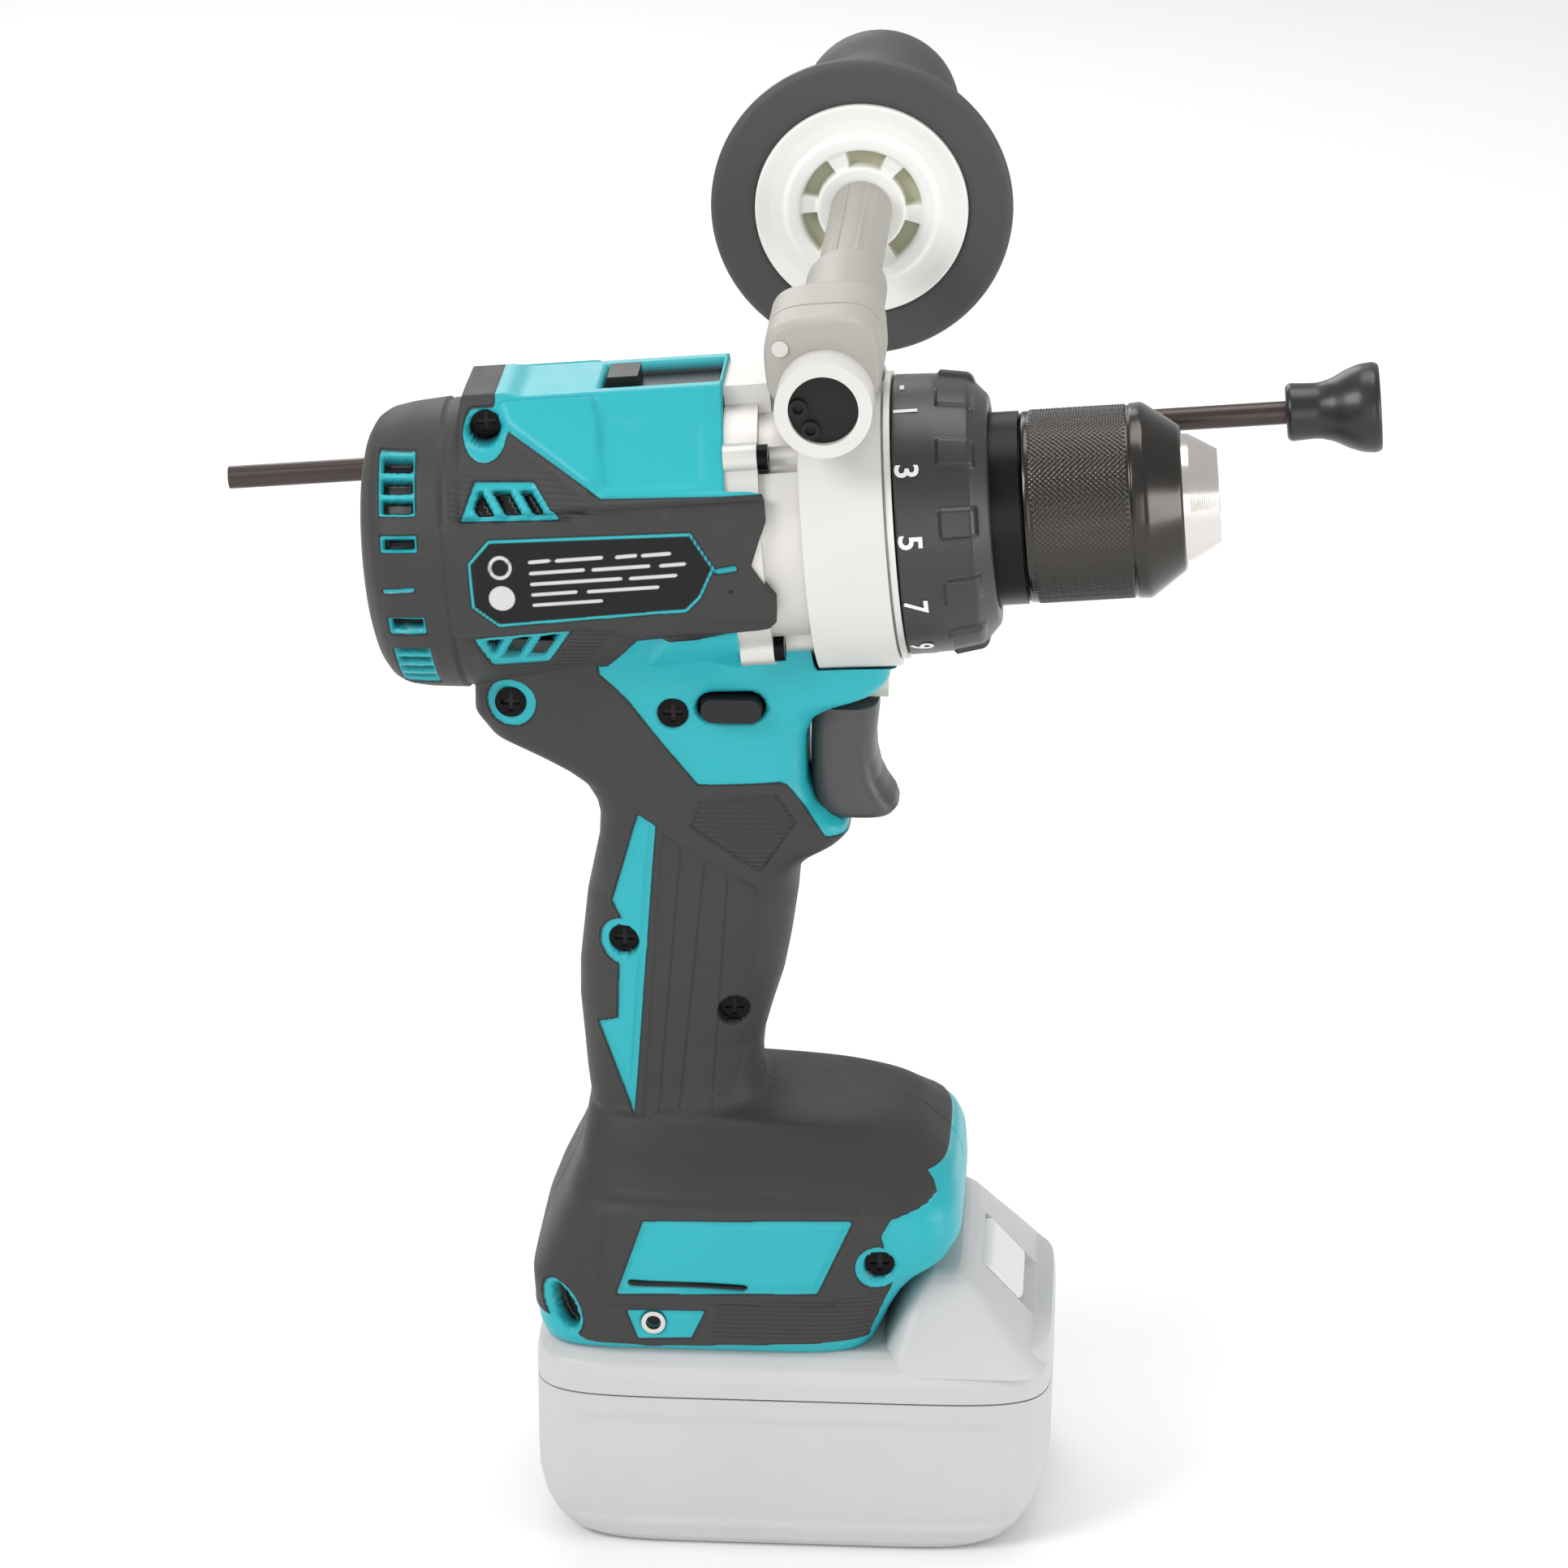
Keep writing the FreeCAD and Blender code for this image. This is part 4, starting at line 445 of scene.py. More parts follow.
def lower_half(side):
    """One half of the lower housing.

    At each height a section is a superellipse |x/a|^p + |y/h|^p = 1 read at even angles, whose reach fore and
    aft, half width and squareness come from tables; outlines on its flat sides push points in or out along
    the section's own normal, and are kept as fields for the finish."""
    rows = np.unique(np.concatenate([np.linspace(FOOT_BASE, BARREL_JOIN, 262), np.linspace(93.6, 96.2, 10),
                                     np.linspace(156.5, 163.5, 14), np.linspace(185.5, 191, 10)]))
    z, angle = np.meshgrid(rows, np.linspace(0, math.pi, 262), indexing="ij")
    back, front = along(BACK, z), along(FRONT, z)
    smooth_rows = np.exp(-0.5 * ((rows[:, None] - rows) / 0.5) ** 2)
    smooth_rows /= smooth_rows.sum(1, keepdims=True)
    back, front = smooth_rows @ back, smooth_rows @ front
    half, power = along(HALF, z), along(SQUARE, z)
    middle, reach = (back + front) / 2, (front - back) / 2
    radius = squareness(angle, power)
    px, py = np.cos(angle) * radius, np.sin(angle) * radius
    nx, ny = np.abs(px) ** (power - 1) * np.sign(px) / reach, np.abs(py) ** (power - 1) / half
    length = np.hypot(nx, ny)
    nx, ny = nx / length, ny / length
    x, y = middle + px * reach, py * half
    y = y * (1 + 0.55 * ease((z - 189) / 22) * ease((-7 - x) / 12))

    step = bpy.context.scene.drill_sizes.panel_step
    zone = polygon(x, z, [(-41.2, 196.5), (-35.7, 190.1), (-28.5, 180.6), (-20.8, 171.2), (-3.4, 171.8),
                          (-1.9, 171.1),
                          (1.6, 166.2), (6.3, 159.4), (11.5, 158.6), (30, 160), (30, 230), (-41.2, 230)])
    stripe = polygon(x, z, [(-33.7, 164.1), (-29.9, 161.6), (-34.9, 95.2), (-42.9, 115.1), (-38.5, 116.9),
                            (-38.0, 130.2), (-37.4, 140.0), (-39.6, 143.7)])
    stripe = either(stripe, disc(x, z, (-37, 134.8), 5.2))
    panel = polygon(x, z, [(-31.7, 78.0), (13.4, 79.3), (5.8, 61.9), (-37.6, 60.6)])
    badge = polygon(x, z, [(-35.4, 56.8), (-18.3, 57.3), (-21.4, 50.6), (-33.0, 50.2)])
    rim = polygon(x, z, [(34.0, 99), (45, 101), (45, 40), (-60, 40), (-60, 53), (-50.4, 53.4), (-44, 48.9),
                         (-30, 48.1), (16.9, 50.6), (22.4, 65.0), (19.4, 75.9), (21.4, 79.4), (28.9, 81.5),
                          (32.3, 83.5),
                         (34.6, 88)])
    nose_face = np.maximum(front - 4.5 - x, np.abs(z - 78) - 8.2)
    rim = either(np.maximum(rim, z - 84.5), disc(x, z, (18.9, 68.3), 5.0), nose_face)
    low_ring = disc(x, z, (-60.3, 188.6), 5.3)
    strap = disc(x, z, STRAP_HOLE, 2.6, 2.0, 0.45)
    strap_ring = disc(x, z, STRAP_HOLE, 3.9, 1.7, 0.45)
    hard = either(zone, stripe, panel, badge, rim, low_ring, strap_ring)

    slot = stroke(x, z, [(-34.4, 63.2), (-10, 62.6)], 0.8)
    button = stroke(x, z, [(-17.6, 188.5), (-9.8, 188.6)], 3.5)
    wells = either(*[disc(x, z, (wx, wz), 3.3) for wx, wz, _ in WELLS])
    insert = disc(x, z, INSERT, 2.6)
    # Painted shade: the slot, button opening, screw wells, insert hole and strap hole are coloured near-black as if
    # in shadow.
    shade_and_black = either(slot, button, wells, disc(x, z, INSERT, 1.6), strap)

    pad = polygon(x, z, [(-20.4, 167.3), (-4.4, 169.2), (-0.1, 162.9), (-7.5, 151.9), (-22.2, 161.4)])
    foot_ribs = polygon(x, z, [(-15.5, 59.9), (5.8, 60.6), (14, 61.4), (21.1, 63.4), (15.9, 51.6), (-1.5, 51.1),
                               (-17, 51)])
    ribs = either(pad, foot_ribs)
    palm = polygon(x, z, [(-28.6, 159.8), (-8.7, 148.2), (-7.7, 145.4), (-9.7, 120.0), (-12.3, 100.9), (-33.1, 95.1)])
    lines = either(*[stroke(x, z, [(top, 158 - 0.58 * (top + 28)), (bottom, 97)], 0.16)
                     for top, bottom in PALM_LINES])
    frame_line = np.abs(polygon(x, z, [(-39.6, 82), (15.5, 83.4), (9.5, 59.2), (-42, 57.8)])) - 0.2
    seam = np.abs(y) - 0.28

    push = 0.5 * within(np.abs(hard) - 0.1, 1.6) * (hard > 0)
    push = push - step * within(hard, 0.7)
    push = push + 0.35 * within(panel + 1.3, 0.8) + 0.25 * within(stripe + 1.6, 0.4)
    push = push - 0.5 * within(palm, 0.5) - 0.45 * within(lines, 0.5) - 0.45 * within(frame_line, 0.6)
    push = push - 0.5 * within(np.abs(pad) - 0.25, 0.5) - 1.0 * within(slot, 0.4) - 1.6 * within(button, 0.5)
    push = push - 1.2 * within(insert, 0.4) - 4.0 * within(strap, 0.6) - 0.35 * within(seam, 0.5)
    x, y = x + nx * push, y + ny * push
    for wx, wz, depth in WELLS:
        hole = within(disc(x, z, (wx, wz), 3.3), 0.5)
        y = y * (1 - hole) + np.minimum(y, depth) * hole
    points = upright(x, side * y, z)
    inward = np.array([1.0, 0.0, 1.0])
    lid = np.stack([points[-1] * (1, part, 1) - (0, 0, LID_DIP * (1 - part * part))
                    for part in (0.8, 0.6, 0.4, 0.2, 0.0)])
    points = np.concatenate([points[:1] * inward, points, lid])
    rise = (points - HEAD) @ UP
    room = np.sqrt(np.maximum(COLLAR_ROOM ** 2 - points[..., 1] ** 2, 0))
    over = np.maximum(rise + room, 0) * within(1.2 - (points - HEAD) @ AHEAD, 0.8)
    points = points - over[..., None] * UP

    def grown(distance):
        """The field with the rows that close the bottom and the top."""
        return np.concatenate([distance[:1], distance, np.repeat(distance[-1:], 5, 0)])

    fields = {"hard": grown(hard), "shade_and_black": grown(shade_and_black), "ribs": grown(ribs), "marks": grown(np.full_like(hard, 9.0))}
    obj = make_piece("HousingLower" + ("Left" if side > 0 else "Right"), points, False, False, fields)
    return face_outwards(obj, (-15, 0, 120))


# ---------------------------------------------------------------- barrel and rear cover
# The rear cover's side as (ahead, radius), and the barrel's front edge as (up, ahead).
REAR = [(-91.2, 0.0), (-91.2, 9.0), (-91.0, 16.0), (-90.4, 20.8), (-89.3, 24.6), (-87.3, 27.7), (-84.4, 29.4),
        (-80.0, 30.2), (-74.0, 30.7), (-72.5, 30.8)]
COVER_END, BARREL_END, BARREL_RADIUS, EAR_ROWS = -72.5, -13.0, 30.5, 13
LABEL_BARS = [((-54, -50), (-48.5, -39), (-36, -32), (-30.5, -25)), ((-54, -43), (-41, -29.5), (-27, -22)),
              ((-54, -35.5), (-33.5, -24)), ((-54, -45), (-42.5, -28)), ((-54, -40),)]
NOTCH = [(-14.4, -9.5), (-13.9, -6.0), (-12.1, -4.3), (-7.3, -3.9), (0.8, -8.4), (9.9, -4.9), (14.8, -5.0),
         (15.6, -9.0)]


def barrel_half(side):
    """One half of the barrel with the rear cover's side.

    Rows run from the rear pole forward and columns from straight below to straight above; the radius is that
    of a circle, or of flat facets under the deck given by distance / cos(angle from the facet's normal)."""
    profile = densify(rounded(REAR, 1.0), 0.75)
    straight = np.linspace(COVER_END, BARREL_END, 92)[1:]
    lift = np.linspace(-math.pi / 2, math.pi / 2, 300)
    notch_up, notch_ahead = np.transpose(NOTCH)
    edge = np.interp(np.sin(lift) * 31, notch_up, notch_ahead, left=BARREL_END, right=BARREL_END)
    ears = BARREL_END + (edge - BARREL_END) * np.linspace(0, 1, EAR_ROWS + 1)[1:, None]
    ahead = np.concatenate([carried(profile, len(lift))[0], np.repeat(straight[:, None], len(lift), 1), ears,
                            edge[None], edge[None]])
    radius = np.concatenate([carried(profile, len(lift))[1],
                             np.full((len(ahead) - len(profile), len(lift)), BARREL_RADIUS)])
    drop = np.zeros_like(radius)
    drop[-2], drop[-1] = -1.2, -3.0
    cos, sin = np.cos(lift), np.sin(lift)
    facet = 31.3 / np.maximum(0.747 * np.abs(cos) + 0.665 * sin, 0.05)
    deck = (34.3 + 0.8 * ease((-54 - ahead) / 5)) / np.maximum(sin, 0.05)
    body = np.maximum(np.minimum(facet, deck), 29.6)
    raised = ease((ahead + 69.3) / 2.0) * (sin > 0.46)
    radius = radius * (1 - raised) + body * raised
    left, up = radius * cos, radius * sin

    ring = np.maximum(disc(ahead, up, (-62.5, 28.8), 4.6, 1.15), up - 33.0)
    upper = polygon(ahead, up, [(-60.4, 50), (-60.4, 31.5), (-57.6, 28.4), (-38.5, 16.2), (-13.9, 15.3), (-4, 15.3),
                               (-4, 50)])
    lower = polygon(ahead, up, [(-42.6, -24.3), (-33.9, -15.6), (-13.3, -14.5), (-4, -14.4), (-4, -50), (-22, -50)])
    label = polygon(ahead, up, [(-66.5, 4.8), (-62.2, 8.9), (-20.5, 8.0), (-16.3, 1.0), (-19.6, -5.1), (-22.7, -7.9),
                               (-61.8, -8.9), (-66.6, -4.4)])
    vent_top = polygon(ahead, up, [(-64.6, 20.4), (-52.3, 19.8), (-47.2, 12.3), (-67.9, 13.1)])
    vent_low = polygon(ahead, up, [(-67.7, -12.7), (-47.2, -11.8), (-53.2, -20.2), (-64.9, -20.3)])
    lean_a = ((ahead + 66.5 + (up - 16.6) * 0.62) % 5.7) - 2.85
    lean_b = ((ahead + 62.2 - (up + 16.3) * 0.62) % 5.7) - 2.85
    slots = either(np.maximum(vent_top + 1.3, np.abs(lean_a) - 1.75),
                   np.maximum(vent_low + 1.3, np.abs(lean_b) - 1.75))
    rear_boxes = [(25.6, 14.6), (11.0, 7.6), (-6.6, -10.6), (-14.3, -25.4)]
    frames = either(*[np.maximum(np.abs(ahead + 81.2) - 3.9, np.abs(up - (a + b) / 2) - (a - b) / 2)
                      for a, b in rear_boxes])
    slats = np.abs(((up - 14.7) % 3.65) - 1.8) - 1.25
    slats_low = np.abs(((up + 25.4) % 2.85) - 1.4) - 0.85
    bars = np.where(up > 13, slats, np.where(up < -13, slats_low, -1.0))
    gaps = np.maximum(frames + 0.7, bars)
    dash = either(stroke(ahead, up, [(-85.0, -0.6), (-79.0, -0.2)], 0.5),
                  stroke(ahead, up, [(-15.3, 0.2), (-11.9, 0.6)], 0.6))
    hard = either(upper, lower, np.abs(label) - 0.35, vent_top, vent_low, frames, dash,
                  np.where(ahead < -56, ring, 9.0))
    well = disc(ahead, up, (-62.7, 29.4), 3.3)
    speed = np.maximum(np.maximum(np.abs(ahead + 26.2) - 12.2, np.abs(left) - 8.6), 30 - up)
    film = label + 0.4
    # Painted shade: vents, gaps between vent slats, the screw well, the speed switch opening and a small hole are
    # coloured near-black as if in shadow; the label film is black as its own colour.
    shade_and_black = either(slots, gaps, well, film, speed, disc(ahead, up, (-13.0, -4.3), 0.5))
    rows = either(*[stroke(ahead, up, [(start, 4.4 - 2.3 * row), (end, 4.5 - 2.3 * row)], 0.36)
                    for row, dashes in enumerate(LABEL_BARS) for start, end in dashes])
    marks = either(rows, disc(ahead, up, (-60.5, -2.9), 2.7), np.abs(disc(ahead, up, (-60.3, 3.6), 2.1)) - 0.35)
    ribs = outside(either(polygon(ahead, up, [(-70.5, 12.2), (-70.5, 19), (-67, 22), (-49, 21.4), (-38, 12.6)]),
                          polygon(ahead, up, [(-70.5, -11.8), (-38, -11.5), (-46, -21.3), (-67, -22)])),
                   either(vent_top, vent_low) - 0.5)
    cover_seam, split = np.abs(ahead + 72.0) - 0.25, np.abs(left) - 0.25
    ear = polygon(ahead, up, [(-72, 12.4), (-45, 12.2), (-38, 15.6), (-2, 15.6), (-2, -14.4), (-34, -14.6),
                              (-43, -11.4),
                             (-72, -11.2)])
    ridges = either(stroke(ahead, up, [(-24, 11), (-5, 12.5)], 1.6),
                    stroke(ahead, up, [(-24, -9.5), (-4, -10.5)], 1.6))
    step = bpy.context.scene.drill_sizes.panel_step
    push = 0.75 * within(ear, 2.0) + 0.25 * within(ridges, 2.0)
    push = push + 0.35 * within(np.abs(hard) - 0.1, 1.2) * (hard > 0)
    push = push - step * within(hard, 0.6) * (label > 0.6) * (upper > 0)
    push = push - 2.6 * within(either(slots, gaps), 0.4) - 0.2 * within(film, 0.5) - 0.45 * within(cover_seam, 0.5)
    push = push - 0.3 * within(split, 0.5) * (sin < 0) + drop
    recess = polygon(ahead, up, [(-37.5, 30.5), (-30.5, 28.0), (-17.5, 27.6), (-17.5, 17.6), (-40.5, 17.6)])
    wedge = polygon(ahead, up, [(-60, 34), (-58, 29.0), (-40.8, 17.6), (-37.8, 19.2), (-38.5, 27), (-40, 34)])
    push = push + 1.3 * within(wedge, 2.6) * (up < 33) - 0.25 * within(recess, 1.6)
    push = push - 0.5 * within(np.abs(upper) - 0.2, 0.5)
    box = polygon(ahead, up, [(-27, -14), (-10, -13.5), (-10, -32), (-29, -32), (-33, -22)])
    push = push - 2.4 * within(speed, 0.5) + 1.2 * within(box, 1.6) * (ear > 0.3)
    push = push * (ahead >= -90.6)
    radius = radius + push
    left, up = radius * cos, radius * sin
    hole = within(well, 0.5) * (ahead > -70)
    left = left * (1 - hole) + np.minimum(left, 11.2) * hole
    points = on_head(ahead, side * left, up)
    obj = make_piece("Barrel" + ("Left" if side > 0 else "Right"), points, False, False,
                     {"hard": hard, "shade_and_black": shade_and_black, "ribs": ribs, "marks": marks})
    return face_outwards(obj, on_head(-50.0, 0.0, 0.0))


# Rows of (height, back, front, half width) in mm.
CASE = [(0.0, -45.5, 43.5, 33.5), (0.4, -47.5, 45.5, 34.5), (2.0, -50.5, 48.2, 35.8), (5.0, -53.2, 51.0, 36.6),
        (9.0, -55.2, 53.4, 37.2), (14.0, -56.3, 55.2, 37.4), (20.0, -56.5, 56.3, 37.5), (36.6, -56.5, 56.5, 37.5),
        (36.6, -56.0, 56.0, 37.0)]
LID = [(37.0, -56.0, 56.0, 37.0), (37.0, -56.5, 56.5, 37.5), (41.0, -56.5, 56.5, 37.5), (43.6, -56.0, 56.4, 36.6),
       (45.8, -54.0, 56.2, 34.4), (46.8, -51.5, 56.0, 32.5), (46.9, -40.0, 45.0, 22.0), (46.9, 0.0, 10.0, 3.0)]
HUMP = [(43.0, 18.8, 55.8, 36.9), (44.5, 18.9, 54.6, 36.4), (47.0, 19.8, 52.2, 35.2), (51.0, 21.6, 48.6, 33.0),
        (55.0, 23.4, 44.8, 30.6), (58.5, 25.3, 41.6, 28.4), (61.0, 27.5, 39.2, 26.8), (62.4, 29.0, 37.4, 25.2),
        (62.9, 30.0, 36.2, 23.6), (62.9, 32.0, 34.0, 8.0)]
CATCH = [(50.4, 43.0, 48.4, 11.4), (50.8, 42.6, 49.6, 12.2), (58.3, 36.6, 42.7, 12.2), (58.7, 36.8, 41.6, 11.4)]


def boxy(name, table, power, count=160, dent=None, step=0.9, crease=40):
    """A closed shape of superellipse sections, their back, front and half width read from a table by height."""
    z, back, front, half = np.split(densify(table, step), 4, 1)
    angle = turn_of(count)
    reach = squareness(angle, power)
    x = (back + front) / 2 + (front - back) / 2 * reach * np.cos(angle)
    y, z = half * reach * np.sin(angle), np.broadcast_to(z, x.shape)
    if dent is not None:
        x, y, z = dent(x, y, z)
    points = upright(x, y, z)
    return sharpen(make_piece(name, capped(points, points[0].mean(0), points[-1].mean(0))), crease)


def side_panel(x, y, z):
    """A shallow flat pressed into both long sides of the case."""
    sunk = within(np.maximum(np.abs(x) - 47, np.abs(z - 19) - 12.5), 2.0) * (np.abs(y) > 30)
    return x, y - np.sign(y) * 0.5 * sunk, z


def catch_pocket(x, y, z):
    """A pocket in the slanted front of the hump, for the catch to sink into."""
    sunk = within(np.maximum(np.abs(y) - 12.7, np.abs(z - 53.3) - 5.9), 0.4) * (x > 37)
    return x - 5.2 * sunk, y, z


# ---------------------------------------------------------------- torque ring, chuck and numbers
def torque_dial():
    """Torque ring: a stepped profile whose front band carries twelve raised bars with bevelled sides."""
    profile = rounded([(21.6, 25.0), (21.6, 29.2), (21.9, 29.5), (30.0, 29.2), (37.2, 28.1), (41.0, 24.0),
                       (41.0, 21.0), (38.0, 21.0)], 0.5, 4)
    angle = turn_of(600)
    ahead, radius = carried(densify(profile, 0.4), len(angle))
    near = ((angle - math.radians(167 - 15)) % math.radians(30)) - math.radians(15)
    bar = within(np.abs(near) * 28 - 2.9, 0.7) * within(np.abs(ahead - 34.6) - 3.7, 0.7)
    radius = radius + np.where(radius > 26.5, 0.95 * bar, 0)
    points = on_head(ahead, radius * np.cos(angle), radius * np.sin(angle))
    return sharpen(make_piece("TorqueDial", points), 40)


NUMBERS_AHEAD, NUMBERS_OUT = 24.3, 29.56


def torque_numbers():
    """Odd numbers wrapped round the ring: flat letters bent so that x runs round it and y along its axis."""
    height = bpy.context.scene.drill_sizes.numeral_height
    made = []
    lifts = [(str(2 * k + 1), 64.2 - 28.9 * k) for k in range(11)] + [("-", 81.0)]
    for index, (text, degrees) in enumerate(lifts):
        curve = bpy.data.curves.new("Number", "FONT")
        curve.body, curve.size, curve.align_x, curve.align_y = text, height * 1.15, "CENTER", "CENTER"
        curve.resolution_u, curve.offset = 3, 0.13
        holder = bpy.data.objects.new("Number", curve)
        bpy.context.scene.collection.objects.link(holder)
        bpy.context.view_layer.update()
        flat = bpy.data.meshes.new_from_object(holder)
        co = np.empty(len(flat.vertices) * 3)
        flat.vertices.foreach_get("co", co)
        co = co.reshape(-1, 3)
        turn = math.radians(degrees) - co[:, 0] / 29.5
        points = on_head(NUMBERS_AHEAD + co[:, 1], -NUMBERS_OUT * np.cos(turn), NUMBERS_OUT * np.sin(turn)) * 0.001
        flat.vertices.foreach_set("co", points.astype(np.float32).ravel())
        flat.update()
        obj = bpy.data.objects.new(f"TorqueNumber{index + 1}", flat)
        bpy.context.scene.collection.objects.link(obj)
        bpy.data.objects.remove(holder)
        face_outwards(obj, on_head(NUMBERS_AHEAD, 0.0, 0.0))
        made.append(obj)
    return made


SLEEVE_RADIUS, KNURL_START = 20.1, 48.9


def chuck_grip_sleeve():
    """Chuck sleeve: a straight part with crossed grooves, height = depth * (1 - max of two triangle waves)."""
    sizes = bpy.context.scene.drill_sizes
    plain = [(47.4, 18.0), (47.4, 19.7), (47.9, SLEEVE_RADIUS), (48.6, SLEEVE_RADIUS)]
    knurled = [(a, SLEEVE_RADIUS) for a in np.arange(KNURL_START, 69.6, 0.24)]
    cone = densify(rounded([(69.9, SLEEVE_RADIUS), (70.2, 20.45), (72.6, 20.6), (73.4, 20.2), (80.2, 15.3),
                            (80.6, 14.6), (80.6, 13.9)], 0.5, 4), 0.7)
    profile = np.array(plain + knurled + [tuple(q) for q in cone])
    angle = turn_of(620)
    ahead, radius = carried(profile, len(angle))
    count = round(TAU * SLEEVE_RADIUS / sizes.knurl_pitch)
    turn = angle / TAU * count
    row = (ahead - KNURL_START) / sizes.knurl_pitch
    one, two = (turn + row) % 1.0, (turn - row) % 1.0
    height = 1 - np.maximum(np.abs(one - 0.5) * 2, np.abs(two - 0.5) * 2)
    on = within(np.abs(ahead - 59.3) - 10.0, 0.6)
    radius = radius + on * sizes.knurl_depth * height
    points = on_head(ahead, radius * np.cos(angle), radius * np.sin(angle))
    return sharpen(make_piece("ChuckGrip", points), 60)


# Rows of (height, back, front, half width) in mm.
TRIGGER = [(161.5, 5.0, 18.6, 8.6), (161.9, 3.6, 20.4, 9.7), (163.0, 2.8, 21.2, 10.3), (164.6, 2.6, 20.6, 10.5),
           (167.0, 2.4, 18.9, 10.5), (170.0, 2.4, 17.4, 10.5), (174.0, 2.4, 16.5, 10.5), (178.0, 2.4, 16.3, 10.5),
           (182.0, 2.4, 16.7, 10.5), (184.0, 2.6, 16.9, 10.4), (186.5, 3.0, 16.9, 10.2)]


def trigger_blade():
    """Trigger: rounded sections at each height, |x|^3.2 + |y|^3.2 = 1, their sizes read from a table."""
    return boxy("TriggerBlade", TRIGGER, 3.2, 120, step=0.35, crease=50)


# ---------------------------------------------------------------- side handle
BOLT = (9.5, 34.6)


def about_bolt(y, radius, angle):
    """Points at a radius and angle round the side handle's bolt, which runs along Y."""
    return on_head(BOLT[0] + radius * np.cos(angle), y, BOLT[1] + radius * np.sin(angle))


def handle_hub():
    """White hub: shallow dish with raised rings and windows sunk between its spokes."""
    profile = densify(rounded([(119.6, 4.4), (119.2, 7.4), (119.2, 9.8), (120.2, 10.4), (119.8, 13.6), (119.1, 14.4),
                               (119.1, 17.0), (120.0, 18.0), (120.0, 21.0), (119.3, 24.3), (121.6, 24.5)],
                               0.4, 3), 0.5)
    count = bpy.context.scene.drill_sizes.hub_windows
    angle = turn_of(360)
    y, radius = carried(profile, len(angle))
    sector = ((angle / TAU * count + 0.15) % 1.0 - 0.5) * 2
    window = np.maximum(np.abs(radius - 12.0) - 1.7, (np.abs(sector) - 0.66) * 8)
    points = about_bolt(y + within(window, 0.5) * 3.0, radius, angle)
    obj = make_piece("HandleHub", points, closed=False, fields={"window": window})
    return face_outwards(obj, on_head(BOLT[0], 150.0, BOLT[1]))


def rubber_handle():
    """Side handle's rubber: a wide flange, then a barrel with shallow rings and a rounded end knob."""
    profile = [(121.4, 24.3), (120.4, 24.8), (120.2, 26.0), (120.2, 33.4), (120.9, 34.5), (122.5, 34.7),
               (124.2, 34.2), (126.0, 31.0), (127.6, 24.0), (129.4, 18.6), (132.0, 17.3), (140.0, 16.7),
               (150.0, 16.9), (170.0, 16.6), (190.0, 15.9), (198.0, 15.9), (204.0, 16.8), (210.0, 18.9),
               (214.0, 19.3), (218.0, 18.8), (221.0, 16.2), (222.0, 12.0), (222.0, 0.0)]
    angle = turn_of(160)
    y, radius = carried(densify(rounded(profile, 1.2, 3), 0.8), len(angle))
    groove = within(np.abs(y - 165) - 26, 4) * (np.cos(y * 1.4) > 0.55)
    obj = make_piece("HandleRubber", about_bolt(y, radius - 0.35 * groove, angle), closed=False)
    return face_outwards(obj, on_head(BOLT[0], 170.0, BOLT[1]))


# Rows of (y, centre ahead, centre up, half length, half height, squareness), in mm but for the last.
CLAMP = [(-26.0, 9.3, 41.0, 10.9, 8.8, 3.4), (-25.4, 9.3, 41.2, 11.5, 9.4, 3.4), (-24.2, 9.3, 41.2, 11.9, 9.8, 3.4),
         (-15.0, 9.3, 41.2, 12.0, 9.9, 3.4), (-14.7, 9.3, 41.2, 11.5, 9.4, 3.4), (-14.2, 9.3, 41.2, 11.5, 9.4, 3.4),
         (-13.9, 9.3, 41.2, 12.0, 9.9, 3.4), (1.0, 9.3, 41.2, 12.0, 9.9, 3.4), (4.0, 9.4, 40.6, 11.4, 9.9, 3.0),
         (7.0, 9.5, 38.4, 9.8, 9.7, 2.3), (9.5, 9.5, 35.6, 8.95, 9.3, 2.0), (12.0, 9.5, 34.6, 8.9, 8.9, 2.0),
         (54.5, 9.5, 34.6, 8.9, 8.9, 2.0), (56.4, 9.5, 34.6, 8.5, 8.5, 2.0), (57.2, 9.5, 34.6, 7.4, 7.4, 2.0),
         (58.5, 9.5, 34.6, 7.0, 7.0, 2.0), (118.6, 9.5, 34.6, 7.0, 7.0, 2.0), (119.4, 9.5, 34.6, 6.6, 6.6, 2.0)]


def clamp_arm():
    """Clamp block, arm and neck: superellipse sections carried along Y, their centre and size read from a table."""
    y, centre_u, centre_w, wide, tall, power = np.split(densify(CLAMP, 0.9), 6, 1)
    angle = turn_of(144)
    reach = squareness(angle, power)
    ahead, up = centre_u + wide * reach * np.cos(angle), centre_w + tall * reach * np.sin(angle)
    rib = within(np.abs(np.abs(np.cos(angle)) - 0.35) - 0.06, 0.05) * (y > 60) * (y < 117) * (up > 36)
    first, last = (on_head(centre_u[k], y[k], centre_w[k]) for k in (0, -1))
    return sharpen(make_piece("ClampArm", capped(on_head(ahead, y, up + 0.5 * rib), first, last)), 50)


def tip_bell():
    """Rod tip: a bell-shaped profile carried round the depth rod, with rounded ends."""
    profile = rounded([(103.0, 0.0), (103.0, 5.6), (103.9, 6.3), (107.0, 6.1), (110.0, 6.0), (113.0, 6.8),
                       (116.0, 8.4), (119.0, 9.5), (122.0, 9.8), (123.3, 9.2), (123.3, 6.0), (122.6, 0.0)], 1.0, 5)
    angle = turn_of(96)
    ahead, radius = carried(densify(profile, 0.5), len(angle))
    return make_piece("TipBell", on_head(ahead, ROD[0] + radius * np.cos(angle), ROD[1] + radius * np.sin(angle)))


